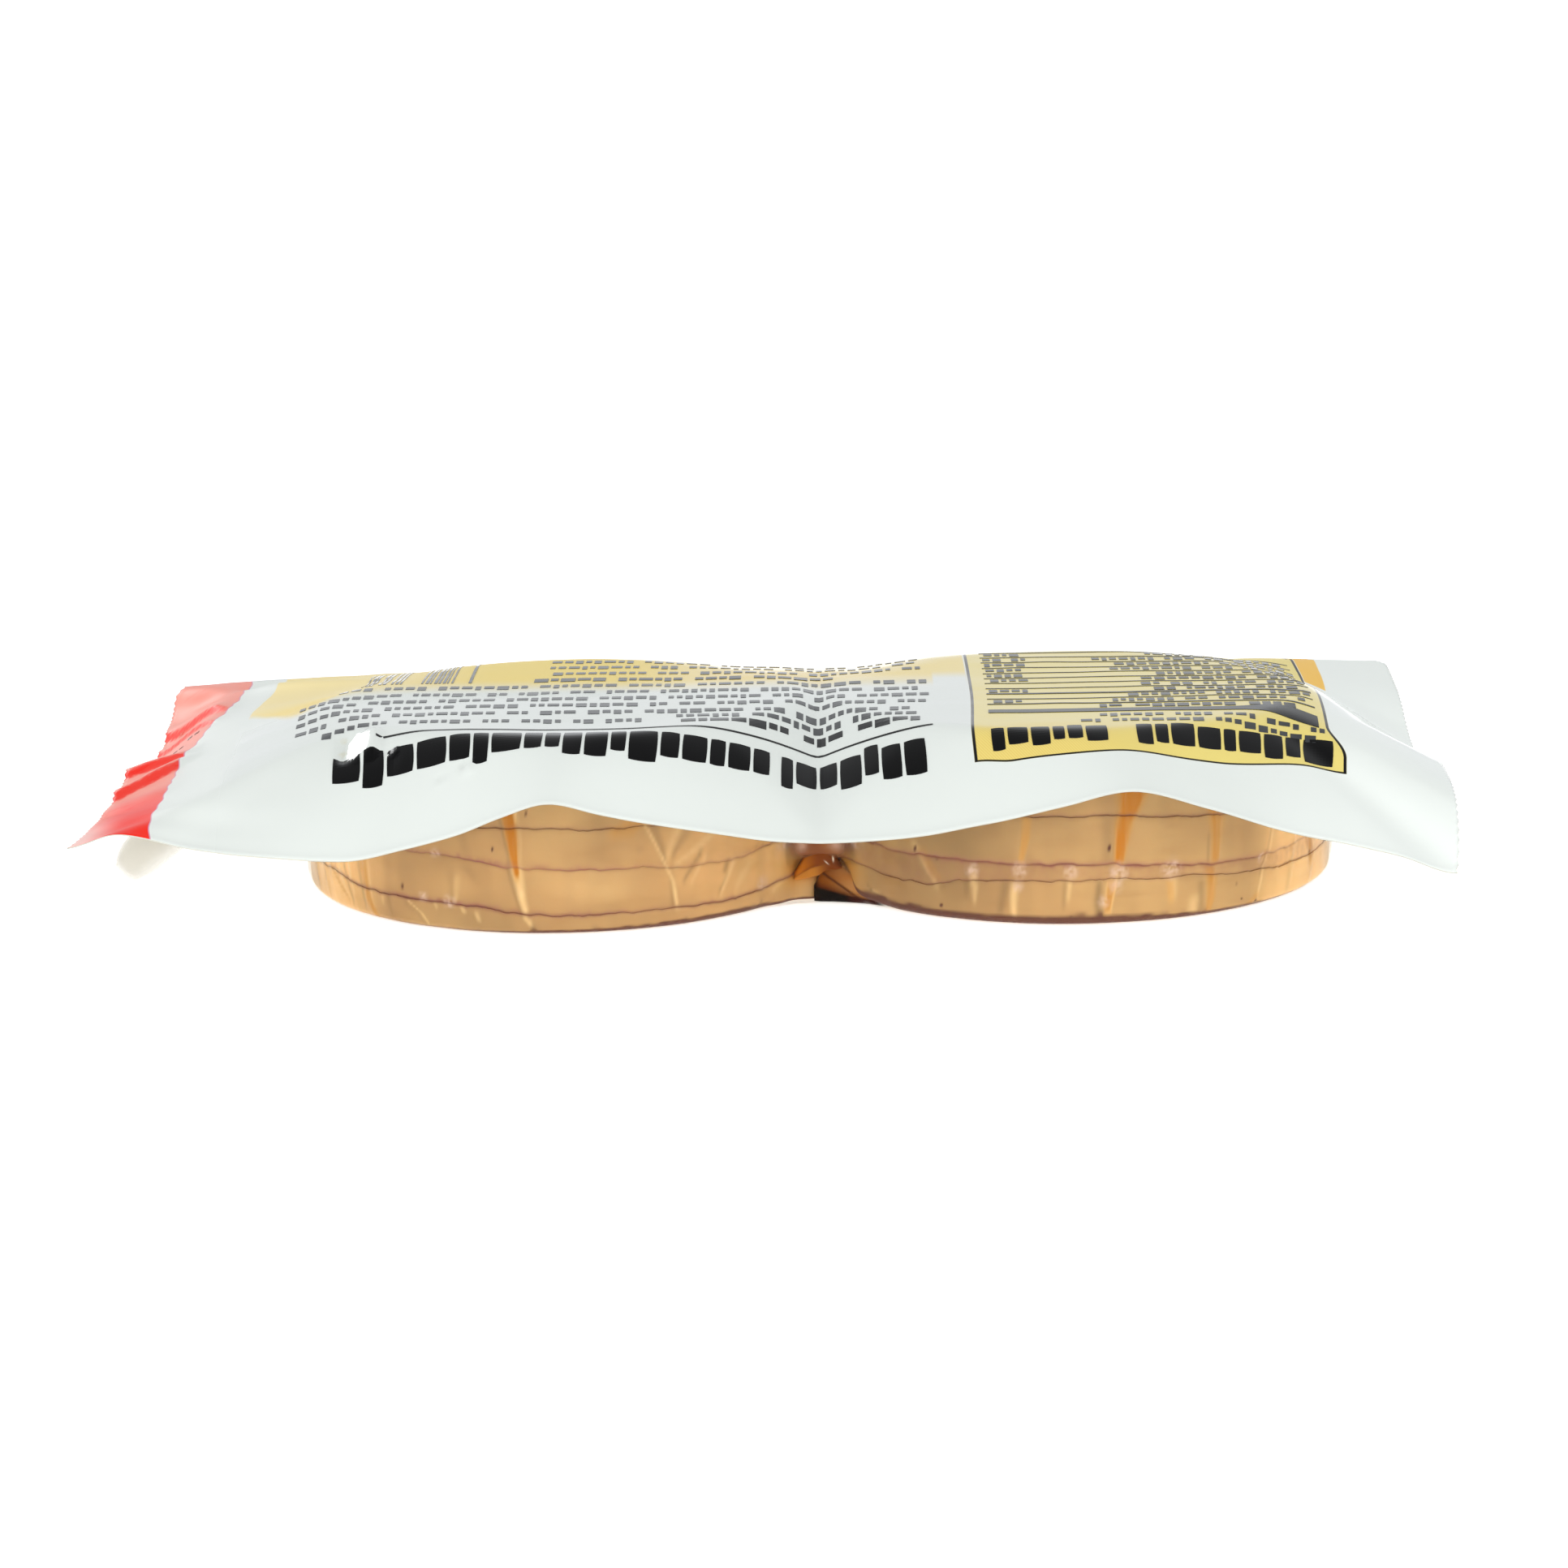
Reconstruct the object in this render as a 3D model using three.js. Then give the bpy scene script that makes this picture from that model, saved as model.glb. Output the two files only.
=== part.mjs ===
// A flat grocery pack of sliced liverwurst, lying face down.
//
// Two stacks of round slices lie side by side in a deep-drawn clear film. A stiff
// printed film closes the open side, which faces up here. Both films are cut to the
// same rectangle. Outside the pocket they lie on each other as a flange that drops
// from the stacks' rims to the cut edge like a tent. One corner of the clear film is
// left loose under the printed strip, so that the pack can be peeled open.
//
// Millimetres, +Z up. X runs along the pack, -Y is the near long edge. The floor is z = 0.

import * as THREE from 'three';

// ---------------------------------------------------------------- driving dimensions
const SLICE_R = 36.95;          // radius of a slice
const SLICES = 5;               // in each stack
const STACK_L = -28.4;          // x of the left stack's axis
const STACK_R = 42.2;           // x of the right stack's axis: the stacks press flat on each other
const MID = (STACK_L + STACK_R) / 2;
// height of the printed film over each stack's middle, and how the top slopes down to the far side
const CROWN_L = { top: 25.9, tilt: 0.038 };
const CROWN_R = { top: 25.7, tilt: 0.03 };
const FILM = 0.4;               // both films
const GAP = 0.3;                // clearance between pieces
const HALF_W = 46.5;            // half the film's width, along Y
const END_L = -90.7;            // the film's left cut edge
const END_R = 92.9;             // the film's right cut edge
const TIP = 2.5;                // how far the near left corner is drawn out to a tip
const CORNER_IN = 1.2;          // how far the far corners are rounded in
const POCKET_R = 37.8;          // inner radius of the clear pocket's wall
const WEB_Y = 23;               // how near the wall's web comes to the middle, between the stacks
const BOTTOM_ROUND = 1.9;       // radius of the pocket's bottom rim
const RIM_LIFT = 0.15;          // the bottom rim stands this far off the floor
// The flat on which the pack rests: the corners of its near half, from left to right.
const REST = [[-60, -10], [-46, -20], [60, -20], [74, -10]];
const FLANGE_INSET = 0.8;       // the clear film ends this far inside the printed one
const PEEL_INSET = 2.9;         // and this far at the left end, where it is peeled open
const FLAP_DROP = 6.8;          // how far the loose corner of the clear film hangs down
const SEAM_R = SLICE_R - 0.55;  // radius of the groove between two slices

// Heights of the printed film's top side along its four cut edges.
const NEAR_EDGE = [[-93.2, 15.7], [-86.7, 17.5], [-77.3, 15.4], [-67.6, 13.9], [-57, 13.1], [-48.1, 14.7],
  [-41.5, 16.4], [-35, 18.9], [-29, 20.5], [-22.1, 18.8], [-9.2, 16.4], [7, 14.6], [16.7, 14.9], [29.6, 16.8],
  [39.3, 18.9], [48.5, 20.9], [58.7, 18.3], [68.4, 15.1], [78.1, 12.9], [84.6, 11.3], [91.8, 8.9]];
const FAR_EDGE = [[-90, 18.1], [-74.3, 18.9], [-55.7, 19.5], [70, 19.5], [92, 18.8]];
const LEFT_EDGE = [[-46.5, 15.7], [-41, 16.2], [-26, 15.9], [-16, 16], [-8, 16.7], [0, 14.8], [12, 12.8],
  [25, 12.2], [36, 13.8], [42, 15.7], [46.5, 18.1]];
const RIGHT_EDGE = [[-46.5, 8.9], [-44, 11.8], [-41, 14.5], [-37, 16.8], [-31, 17.8], [-22, 18.1], [-14, 16.5],
  [-4, 14], [8, 13.1], [17, 14.5], [23, 16.4], [30, 17.8], [46.5, 18.8]];
// Height of the printed film's valley between the stacks: top, then at the near and far edge.
const VALLEY = { top: 25.1, near: 14.6, far: 19.5, nearPower: 2.3, farPower: 2 };

// ---------------------------------------------------------------- small helpers
const clamp = (v, a, b) => Math.min(b, Math.max(a, v));
const smooth = (a, b, v) => { const t = clamp((v - a) / (b - a), 0, 1); return t * t * (3 - 2 * t); };
const mix = (a, b, t) => a + (b - a) * t;
const rad = (d) => d * Math.PI / 180;

// A smooth height along a table of [place, height], with no overshoot.
function along(table, v) {
  const n = table.length;
  if (v <= table[0][0]) return table[0][1];
  if (v >= table[n - 1][0]) return table[n - 1][1];
  let i = 0;
  while (v > table[i + 1][0]) i++;
  const slope = (k) => {
    if (k <= 0 || k >= n - 1) return 0;
    const a = (table[k][1] - table[k - 1][1]) / (table[k][0] - table[k - 1][0]);
    const b = (table[k + 1][1] - table[k][1]) / (table[k + 1][0] - table[k][0]);
    return a * b <= 0 ? 0 : 2 * a * b / (a + b);
  };
  const [x0, y0] = table[i], [x1, y1] = table[i + 1];
  const h = x1 - x0, t = (v - x0) / h;
  const m0 = slope(i) * h, m1 = slope(i + 1) * h;
  return y0 * (1 + 2 * t) * (1 - t) ** 2 + m0 * t * (1 - t) ** 2 + y1 * t * t * (3 - 2 * t) - m1 * t * t * (1 - t);
}

// ---------------------------------------------------------------- the cut outline
const leftX = (y) => END_L - TIP * Math.exp(-(y + HALF_W) / 6) + CORNER_IN * smooth(HALF_W - 4, HALF_W, y) ** 2;
const rightX = (y) => END_R - 1.2 * Math.exp(-(y + HALF_W) / 4) - CORNER_IN * smooth(HALF_W - 4, HALF_W, y) ** 2;

function valleyZ(y) {
  const t = Math.abs(y) / HALF_W;
  return y < 0 ? mix(VALLEY.top, VALLEY.near, t ** VALLEY.nearPower) : mix(VALLEY.top, VALLEY.far, t ** VALLEY.farPower);
}

// ---------------------------------------------------------------- the printed film's top side
// Each stack carries a flat crown. From its rim, straight lines run out to the cut
// edge, or to the valley between the stacks.
function filmTop(x, y) {
  const left = x < MID;
  const cx = left ? STACK_L : STACK_R;
  const dx = x - cx, dy = y;
  const r = Math.hypot(dx, dy);
  const { top, tilt } = left ? CROWN_L : CROWN_R;
  const crown = top - tilt * y;
  if (r < 1e-6) return crown;
  const far = smooth(-0.3, 0.6, dy / r);
  const rim = mix(33.5, 27, far);
  const soft = mix(3, 10, far);
  if (r <= rim) return crown;
  // where the line leaves the film
  let t = Infinity, where = '';
  const tY = dy < 0 ? -HALF_W / dy : dy > 0 ? HALF_W / dy : Infinity;
  if (tY < t) { t = tY; where = dy < 0 ? 'near' : 'far'; }
  const towardsMid = left ? dx > 0 : dx < 0;
  if (towardsMid) {
    const tM = (MID - cx) / dx;
    if (tM < t) { t = tM; where = 'mid'; }
  } else if (dx !== 0) {
    let tX = ((left ? END_L : END_R) - cx) / dx;
    for (let i = 0; i < 4; i++) {
      const yy = clamp(dy * tX, -HALF_W, HALF_W);
      tX = ((left ? leftX(yy) : rightX(yy)) - cx) / dx;
    }
    if (tX < t) { t = tX; where = left ? 'left' : 'right'; }
  }
  const ex = cx + dx * t, ey = dy * t;
  const edge = where === 'near' ? along(NEAR_EDGE, ex) : where === 'far' ? along(FAR_EDGE, ex)
    : where === 'left' ? along(LEFT_EDGE, ey) : where === 'right' ? along(RIGHT_EDGE, ey) : valleyZ(ey);
  const end = r * t;
  const span = Math.max(end - rim, 1e-6);
  const u = (r - rim) / span, e = soft / span;
  return crown - (crown - edge) * u * u / (u + e) * (1 + e);
}

// ---------------------------------------------------------------- the pocket's outline
// Two discs joined by a concave web on each side, as a loop of points, each with its
// outward normal, its foot on the spine between the stack axes, and its place on the cut edge.
const HALF_C = (STACK_R - STACK_L) / 2;
// web arc: touches both discs and comes to WEB_Y in the middle
const WEB_RADIUS = (HALF_C ** 2 + WEB_Y ** 2 - POCKET_R ** 2) / (2 * (POCKET_R - WEB_Y));
const WEB_CENTRE = WEB_Y + WEB_RADIUS;
const TOUCH = Math.atan2(WEB_CENTRE, HALF_C);      // angle of the touching point, seen from a stack's axis
const LOBE_STEPS = 36, WEB_STEPS = 6;

function outline() {
  const loop = [];
  const lobeLength = POCKET_R * (Math.PI / 2 - TOUCH);
  const webLength = WEB_RADIUS * (Math.PI / 2 - TOUCH);
  const whole = lobeLength + webLength;
  const edgeAcross = (side, part) => mix(side > 0 ? STACK_R : STACK_L, MID, part);
  const lobe = (side, from, to) => {
    const cx = side > 0 ? STACK_R : STACK_L;
    for (let i = 0; i < LOBE_STEPS; i++) {
      const a = mix(from, to, i / LOBE_STEPS);            // from the outward X axis, towards +Y
      const c = Math.cos(a), s = Math.sin(a);
      const n = [side * c, s];
      const p = [cx + POCKET_R * n[0], POCKET_R * n[1]];
      let b;
      if (c >= -1e-9) {
        const endX = side > 0 ? END_R : END_L;
        const t = Math.min(Math.abs(endX - cx) / Math.max(c, 1e-9), HALF_W / Math.max(Math.abs(s), 1e-9));
        b = [cx + side * c * t, s * t];
      } else {
        const part = POCKET_R * (Math.abs(a) - Math.PI / 2) / whole;
        b = [edgeAcross(side, part), Math.sign(s) * HALF_W];
      }
      loop.push({ p, n, b });
    }
  };
  const web = (fromSide, ySign) => {
    for (let i = 0; i < WEB_STEPS; i++) {
      // angle at the web's centre, measured from the way to the middle, from one disc to the other
      const w = mix(Math.PI / 2 - TOUCH, -(Math.PI / 2 - TOUCH), i / WEB_STEPS) * fromSide;
      const n = [-Math.sin(w), ySign * Math.cos(w)];
      const p = [MID - WEB_RADIUS * n[0], ySign * WEB_CENTRE - WEB_RADIUS * n[1]];
      const part = (lobeLength + WEB_RADIUS * (Math.PI / 2 - TOUCH - Math.abs(w))) / whole;
      loop.push({ p, n, b: [edgeAcross(Math.sign(w) || 1, part), ySign * HALF_W] });
    }
  };
  const reach = Math.PI - TOUCH;
  lobe(1, -reach, reach);
  web(1, 1);
  lobe(-1, reach, -reach);
  web(-1, -1);
  // the four lines that pass nearest the cut corners end on them
  for (const [x, y] of [[END_L, -HALF_W], [END_L, HALF_W], [END_R, HALF_W], [END_R, -HALF_W]]) {
    let best = loop[0], least = Infinity;
    for (const q of loop) {
      const d = Math.hypot(q.b[0] - x, q.b[1] - y);
      if (d < least) { least = d; best = q; }
    }
    best.b = [x, y];
  }
  for (const q of loop) {
    if (Math.abs(q.b[0] - END_L) < 1e-6) q.b[0] = leftX(q.b[1]);
    if (Math.abs(q.b[0] - END_R) < 1e-6) q.b[0] = rightX(q.b[1]);
    q.s = [clamp(q.p[0], STACK_L, STACK_R), 0];
  }
  return loop;
}
const LOOP = outline();

// ---------------------------------------------------------------- closed meshes
// Merges equal points and leaves out triangles that have no area.
function closedMesh(quads, tris = []) {
  const index = new Map(), points = [], faces = [];
  const id = (p) => {
    const key = p.map((v) => Math.round(v * 1e4)).join();
    if (!index.has(key)) { index.set(key, points.length); points.push(p); }
    return index.get(key);
  };
  const add = (a, b, c) => {
    const t = [id(a), id(b), id(c)];
    if (t[0] !== t[1] && t[1] !== t[2] && t[0] !== t[2]) faces.push(t);
  };
  for (const [a, b, c, d] of quads) { add(a, b, c); add(a, c, d); }
  for (const [a, b, c] of tris) add(a, b, c);
  const g = new THREE.BufferGeometry();
  g.setAttribute('position', new THREE.Float32BufferAttribute(points.flat(), 3));
  g.setIndex(faces.flat());
  g.computeVertexNormals();
  return g;
}

// A sheet of two skins over the loop. Each skin is a function (line, ring) that gives a
// point. Ring 0 lies on the spine and the last ring on the cut edge, where the skins join.
function sheet(upper, lower, rings) {
  const quads = [], n = LOOP.length;
  const grid = (f) => LOOP.map((q) => Array.from({ length: rings }, (_, j) => f(q, j)));
  const up = grid(upper), lo = grid(lower);
  for (let i = 0; i < n; i++) {
    const k = (i + 1) % n;
    for (let j = 0; j + 1 < rings; j++) {
      quads.push([up[i][j], up[i][j + 1], up[k][j + 1], up[k][j]]);
      quads.push([lo[i][j], lo[k][j], lo[k][j + 1], lo[i][j + 1]]);
    }
    const e = rings - 1;
    quads.push([up[i][e], lo[i][e], lo[k][e], up[k][e]]);
  }
  return closedMesh(quads);
}

const FLANGE = [0.25, 0.5, 0.75, 1];                  // rings from the pocket's wall to the cut edge

// ---------------------------------------------------------------- the printed film
const CROWN = [0, 0.4, 0.72, 0.885, 0.945, 1];        // rings from the spine to the pocket's wall
function lidPoint(drop) {
  return (q, j) => {
    let xy;
    if (j < CROWN.length) xy = [mix(q.s[0], q.p[0], CROWN[j]), mix(q.s[1], q.p[1], CROWN[j])];
    else {
      const t = FLANGE[j - CROWN.length];
      xy = [mix(q.p[0], q.b[0], t), mix(q.p[1], q.b[1], t)];
    }
    return [xy[0], xy[1], filmTop(xy[0], xy[1]) - drop];
  };
}
const lidGeometry = sheet(lidPoint(0), lidPoint(FILM), CROWN.length + FLANGE.length);

// ---------------------------------------------------------------- the clear formed film
// Bottom rings on the floor, the rounded rim, the wall, and the flange under the printed film.
const WALL = [9, 17];                                  // rings up the wall
const ROUND_STEPS = 3;
const FORMED_RINGS = 3 + (ROUND_STEPS + 1) + WALL.length + 1 + FLANGE.length;

// Each line's point on the edge of the flat that the pack rests on. Only its corners
// touch the floor; the film between them lies a hair higher.
const REST_LOOP = [...REST, ...REST.map(([x, y]) => [x, -y]).reverse()];
function onRest(q) {
  const [sx, sy] = q.s, dx = q.p[0] - sx, dy = q.p[1] - sy;
  let t = 0.9;
  for (let i = 0; i < REST_LOOP.length; i++) {
    const [ax, ay] = REST_LOOP[i], [bx, by] = REST_LOOP[(i + 1) % REST_LOOP.length];
    const nx = by - ay, ny = ax - bx;                  // points out of the flat
    const along = nx * dx + ny * dy;
    if (along > 1e-9) t = Math.min(t, (nx * (ax - sx) + ny * (ay - sy)) / along);
  }
  return [sx + dx * t, sy + dy * t, 0.03];
}
for (const q of LOOP) q.rest = onRest(q);
for (const [x, y] of REST_LOOP) {
  let best = LOOP[0], least = Infinity;
  for (const q of LOOP) {
    const d = Math.hypot(q.rest[0] - x, q.rest[1] - y);
    if (d < least) { least = d; best = q; }
  }
  best.rest = [x, y, 0];
}
function looseCorner(x, y) {                          // 0 on the sealed flange, 1 at the loose near left corner
  return smooth(0.75, 1.7, -(x + 77) / 11 - (y + 37) / 12);
}
function formedPoint(outer) {
  const out = outer ? FILM : 0;                        // the outer skin lies this far outside
  return (q, j) => {
    const at = (d) => [q.p[0] + q.n[0] * d, q.p[1] + q.n[1] * d];   // d outside the wall's inner side
    const lift = outer ? 0 : FILM;
    if (j === 0) return [q.s[0], q.s[1], lift];
    if (j < 3) {
      const t = j === 1 ? 0.5 : 1;
      return [mix(q.s[0], q.rest[0], t), mix(q.s[1], q.rest[1], t), lift + (j === 1 ? 0 : q.rest[2])];
    }
    j -= 3;
    if (j <= ROUND_STEPS) {
      const a = j / ROUND_STEPS * Math.PI / 2;
      const r = BOTTOM_ROUND + out;
      const [x, y] = at(-BOTTOM_ROUND + r * Math.sin(a));
      return [x, y, RIM_LIFT + FILM + BOTTOM_ROUND - r * Math.cos(a)];
    }
    j -= ROUND_STEPS + 1;
    if (j < WALL.length) { const [x, y] = at(out); return [x, y, Math.min(WALL[j], filmTop(...q.p) - 3 - (2 - j))]; }
    j -= WALL.length;
    const under = (x, y) => filmTop(x, y) - FILM - GAP - out;
    if (j === 0) { const [x, y] = at(out); return [x, y, under(...q.p)]; }
    const t = FLANGE[j - 1];
    const edge = t === 1 ? 1 : 0;
    const inset = edge * FLANGE_INSET;
    let bx = mix(q.p[0], q.b[0], t), by = mix(q.p[1], q.b[1], t);
    bx = clamp(bx, END_L + (edge ? PEEL_INSET : 1.4), END_R - 0.6 - inset);
    by = clamp(by, -HALF_W + inset, HALF_W - inset);
    const loose = smooth(0.6, 0.95, t) * looseCorner(bx, by);
    const z = under(bx, by);
    return [bx + 1.2 * loose, by + 4.6 * loose, z - FLAP_DROP * loose];
  };
}
const formedGeometry = sheet(formedPoint(false), formedPoint(true), FORMED_RINGS);

// ---------------------------------------------------------------- the slices
// a: angle about the stack's axis, 0 towards the near edge and growing towards +X.
// How far each groove wanders from its even height at the rim of a stack.
const WANDER = {
  left: [null, (a) => -1.7 - 1.2 * Math.sin(a), (a) => -0.8 - 0.9 * Math.sin(a + 0.2), () => -0.3, () => 0.1],
  right: [null, (a) => 0.3 + 1.1 * Math.cos(1.7 * a), (a) => -1.3 - 0.7 * Math.sin(a), (a) => 0.1 - 0.5 * Math.sin(a), () => 0],
};
const SEGMENTS = 24;
const FLOOR_OF_STACK = FILM + GAP;

function seamHeight(side, k, x, y) {
  const cx = side === 'left' ? STACK_L : STACK_R;
  if (k === SLICES) return filmTop(x, y) - FILM - GAP - 0.15;
  const { top, tilt } = side === 'left' ? CROWN_L : CROWN_R;
  const even = mix(FLOOR_OF_STACK, top - tilt * y - FILM - GAP, k / SLICES);
  if (k === 0) return FLOOR_OF_STACK - 0.15;
  const r = Math.hypot(x - cx, y), a = Math.atan2(x - cx, -y);
  const near = 0.3 + 0.7 * smooth(-0.6, 0.4, Math.cos(a));
  return even + WANDER[side][k](a) * near * smooth(0.5, 1, r / SLICE_R);
}

function sliceGeometry(side, k) {                     // k: 1 at the bottom
  const cx = side === 'left' ? STACK_L : STACK_R;
  const flat = HALF_C - GAP / 2;
  const shift = (n) => [0.22 * Math.cos(2.4 * n + (side === 'left' ? 0 : 1)), 0.22 * Math.sin(3.1 * n)];
  const ring = (radius, seed) => Array.from({ length: SEGMENTS }, (_, i) => {
    const a = 2 * Math.PI * i / SEGMENTS;
    const [sx, sy] = shift(seed);
    let r = radius + 0.12 * Math.cos(3 * a + 1.7 * seed) + sx * Math.cos(a) + sy * Math.sin(a);
    const inward = side === 'left' ? Math.cos(a) : -Math.cos(a);
    if (inward > 0) r = Math.min(r, flat / inward);
    return [cx + r * Math.cos(a), r * Math.sin(a)];
  });
  const face = (seam, lift) => {                     // one face: axis point, inner ring, rim ring
    const z = (p) => [p[0], p[1], seamHeight(side, seam, p[0], p[1]) + lift];
    const rim = ring(seam === 0 ? SLICE_R - 1.6 : SEAM_R, seam * 1.3);
    const inner = rim.map((p) => [mix(cx, p[0], 0.7), mix(0, p[1], 0.7)]);
    return { axis: z([cx, 0]), inner: inner.map(z), rim: rim.map(z) };
  };
  const lo = face(k - 1, 0.15), hi = face(k, -0.15);
  const mid = ring(SLICE_R, 0.6 + k).map((p, i) => [p[0], p[1], mix(lo.rim[i][2], hi.rim[i][2], 0.52)]);
  const quads = [], tris = [];
  for (let i = 0; i < SEGMENTS; i++) {
    const n = (i + 1) % SEGMENTS;
    tris.push([hi.axis, hi.inner[i], hi.inner[n]], [lo.axis, lo.inner[n], lo.inner[i]]);
    quads.push([hi.inner[i], hi.rim[i], hi.rim[n], hi.inner[n]]);
    quads.push([hi.rim[i], mid[i], mid[n], hi.rim[n]]);
    quads.push([mid[i], lo.rim[i], lo.rim[n], mid[n]]);
    quads.push([lo.rim[i], lo.inner[i], lo.inner[n], lo.rim[n]]);
  }
  return closedMesh(quads, tris);
}

// ---------------------------------------------------------------- the pack
const pack = new THREE.Group();
function piece(name, geometry, material) {
  const m = new THREE.Mesh(geometry, material);
  m.name = name;
  pack.add(m);
}
const printed = new THREE.MeshStandardMaterial({ color: 0xe9edeb, roughness: 0.3, metalness: 0 });
const clear = new THREE.MeshStandardMaterial({ color: 0xe8e4da, roughness: 0.15, metalness: 0, transparent: true, opacity: 0.35 });
const meat = new THREE.MeshStandardMaterial({ color: 0xc9a06e, roughness: 0.5, metalness: 0 });

piece('lid_film', lidGeometry, printed);
piece('formed_film', formedGeometry, clear);
for (const side of ['left', 'right']) {
  for (let k = 1; k <= SLICES; k++) piece(`slice_${side}_${k}`, sliceGeometry(side, k), meat);
}

// the pack's box is centred on X = 0 and Y = 0, and stands on z = 0
pack.updateMatrixWorld(true);
const box = new THREE.Box3();
pack.traverse((o) => { if (o.isMesh) { o.geometry.computeBoundingBox(); box.union(o.geometry.boundingBox); } });
const centre = box.getCenter(new THREE.Vector3());
pack.traverse((o) => { if (o.isMesh) o.geometry.translate(-centre.x, -centre.y, -box.min.z); });

export default pack;
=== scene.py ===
# A flat grocery pack of sliced liverwurst, lying face down on a pale floor.
import math

import bpy
import numpy as np
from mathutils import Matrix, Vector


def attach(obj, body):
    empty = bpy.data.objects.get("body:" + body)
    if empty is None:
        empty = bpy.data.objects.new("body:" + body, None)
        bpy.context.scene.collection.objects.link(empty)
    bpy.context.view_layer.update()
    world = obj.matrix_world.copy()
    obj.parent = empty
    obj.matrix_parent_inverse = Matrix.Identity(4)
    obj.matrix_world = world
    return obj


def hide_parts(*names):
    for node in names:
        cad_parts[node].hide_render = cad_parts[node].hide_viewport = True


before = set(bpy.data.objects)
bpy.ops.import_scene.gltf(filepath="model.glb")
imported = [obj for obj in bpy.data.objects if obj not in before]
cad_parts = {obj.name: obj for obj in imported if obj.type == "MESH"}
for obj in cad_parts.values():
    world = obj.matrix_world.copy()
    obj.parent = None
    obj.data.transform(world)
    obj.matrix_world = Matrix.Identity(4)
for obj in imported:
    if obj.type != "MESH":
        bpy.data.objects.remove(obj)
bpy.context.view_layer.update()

# ---------------------------------------------------------------- sizes, in millimetres
# X runs along the pack, -Y is the near long edge, the floor is z = 0.
STACK = {"left": -28.25, "right": 42.35}       # x of the stacks' axes
MID = (STACK["left"] + STACK["right"]) / 2
HALF_C = (STACK["right"] - STACK["left"]) / 2
CROWN = {"left": (25.9, 0.038), "right": (25.7, 0.030)}    # height over the middle, slope to the far side
HALF_W = 46.5
END_L, END_R = -90.55, 93.05
TIP, CORNER_IN = 2.5, 1.2
SLICES = 5
SLICE_R = 37.3
POCKET_R = 37.62
WEB_Y = 23.0
LID = 0.18                                     # the printed film
CLEAR = 0.12                                   # the clear film

NEAR_EDGE = [(-93.05, 15.7), (-86.55, 17.5), (-77.15, 15.4), (-67.45, 13.9), (-56.85, 13.1), (-47.95, 14.7),
             (-41.35, 16.4), (-34.85, 18.9), (-28.85, 20.5), (-21.95, 18.8), (-9.05, 16.4), (7.15, 14.6),
             (16.85, 14.9), (29.75, 16.8), (39.45, 18.9), (48.65, 20.9), (58.85, 18.3), (68.55, 15.1),
             (78.25, 12.9), (84.75, 11.3), (91.95, 8.9)]
FAR_EDGE = [(-89.85, 18.1), (-74.15, 18.9), (-55.55, 19.5), (70.15, 19.5), (92.15, 18.8)]
LEFT_EDGE = [(-46.5, 15.7), (-41, 16.2), (-26, 15.9), (-16, 16), (-8, 16.7), (0, 14.8), (12, 12.8),
             (25, 12.2), (36, 13.8), (42, 15.7), (46.5, 18.1)]
RIGHT_EDGE = [(-46.5, 8.9), (-44, 11.8), (-41, 14.5), (-37, 16.8), (-31, 17.8), (-22, 18.1), (-14, 16.5),
              (-4, 14), (8, 13.1), (17, 14.5), (23, 16.4), (30, 17.8), (46.5, 18.8)]
# height of the film where the printed strip at the left end begins, across the pack
SHOULDER = [(-46.5, 16.5), (-44, 17.9), (-40, 18.8), (-20, 19.2), (20, 19.2), (40, 19.2), (46.5, 18.7)]


# small corrections to the height of the far half, along X
FAR_FIX = [(-90, 0.0), (-82, -0.3), (-77, -1.25), (-71, -1.1), (-67, -0.80), (-61.5, -0.45), (-56, -0.5), (-50, -0.42),
           (-45, -0.05), (-36, 0.15), (-25, 0.12), (-12, -0.05), (-5, -0.22), (2, 0.05), (8, 0.05), (13, -0.2), (18, 0.0),
           (25, 0.3), (35, 0.2), (46, 0.12), (56, 0.0), (64, -0.12), (69, -0.42), (74, -0.15), (80, 0.0), (93, 0.0)]


def smooth(a, b, v):
    t = np.clip((v - a) / (b - a), 0, 1)
    return t * t * (3 - 2 * t)


def mix(a, b, t):
    return a + (b - a) * t


def along(table, v):
    """A smooth height along a table of (place, height), with no overshoot."""
    T = np.array(table, float)
    X, Y = T[:, 0], T[:, 1]
    d = np.diff(Y) / np.diff(X)
    m = np.zeros(len(X))
    for k in range(1, len(X) - 1):
        m[k] = 0 if d[k - 1] * d[k] <= 0 else 2 * d[k - 1] * d[k] / (d[k - 1] + d[k])
    vc = np.clip(np.asarray(v, float), X[0], X[-1])
    i = np.clip(np.searchsorted(X, vc) - 1, 0, len(X) - 2)
    h = X[i + 1] - X[i]
    t = (vc - X[i]) / h
    return (Y[i] * (1 + 2 * t) * (1 - t) ** 2 + m[i] * h * t * (1 - t) ** 2
            + Y[i + 1] * t * t * (3 - 2 * t) - m[i + 1] * h * t * t * (1 - t))


def hash01(n, seed=0):
    """Even numbers from 0 to 1 that look random but never change."""
    v = np.sin(np.asarray(n, float) * 127.1 + seed * 311.7) * 43758.5453
    return v - np.floor(v)


def noise1(x, seed=0):
    """Smooth noise from -1 to 1 along a line, one bump to a unit."""
    i = np.floor(x)
    t = x - i
    t = t * t * (3 - 2 * t)
    return mix(hash01(i, seed), hash01(i + 1, seed), t) * 2 - 1


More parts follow.
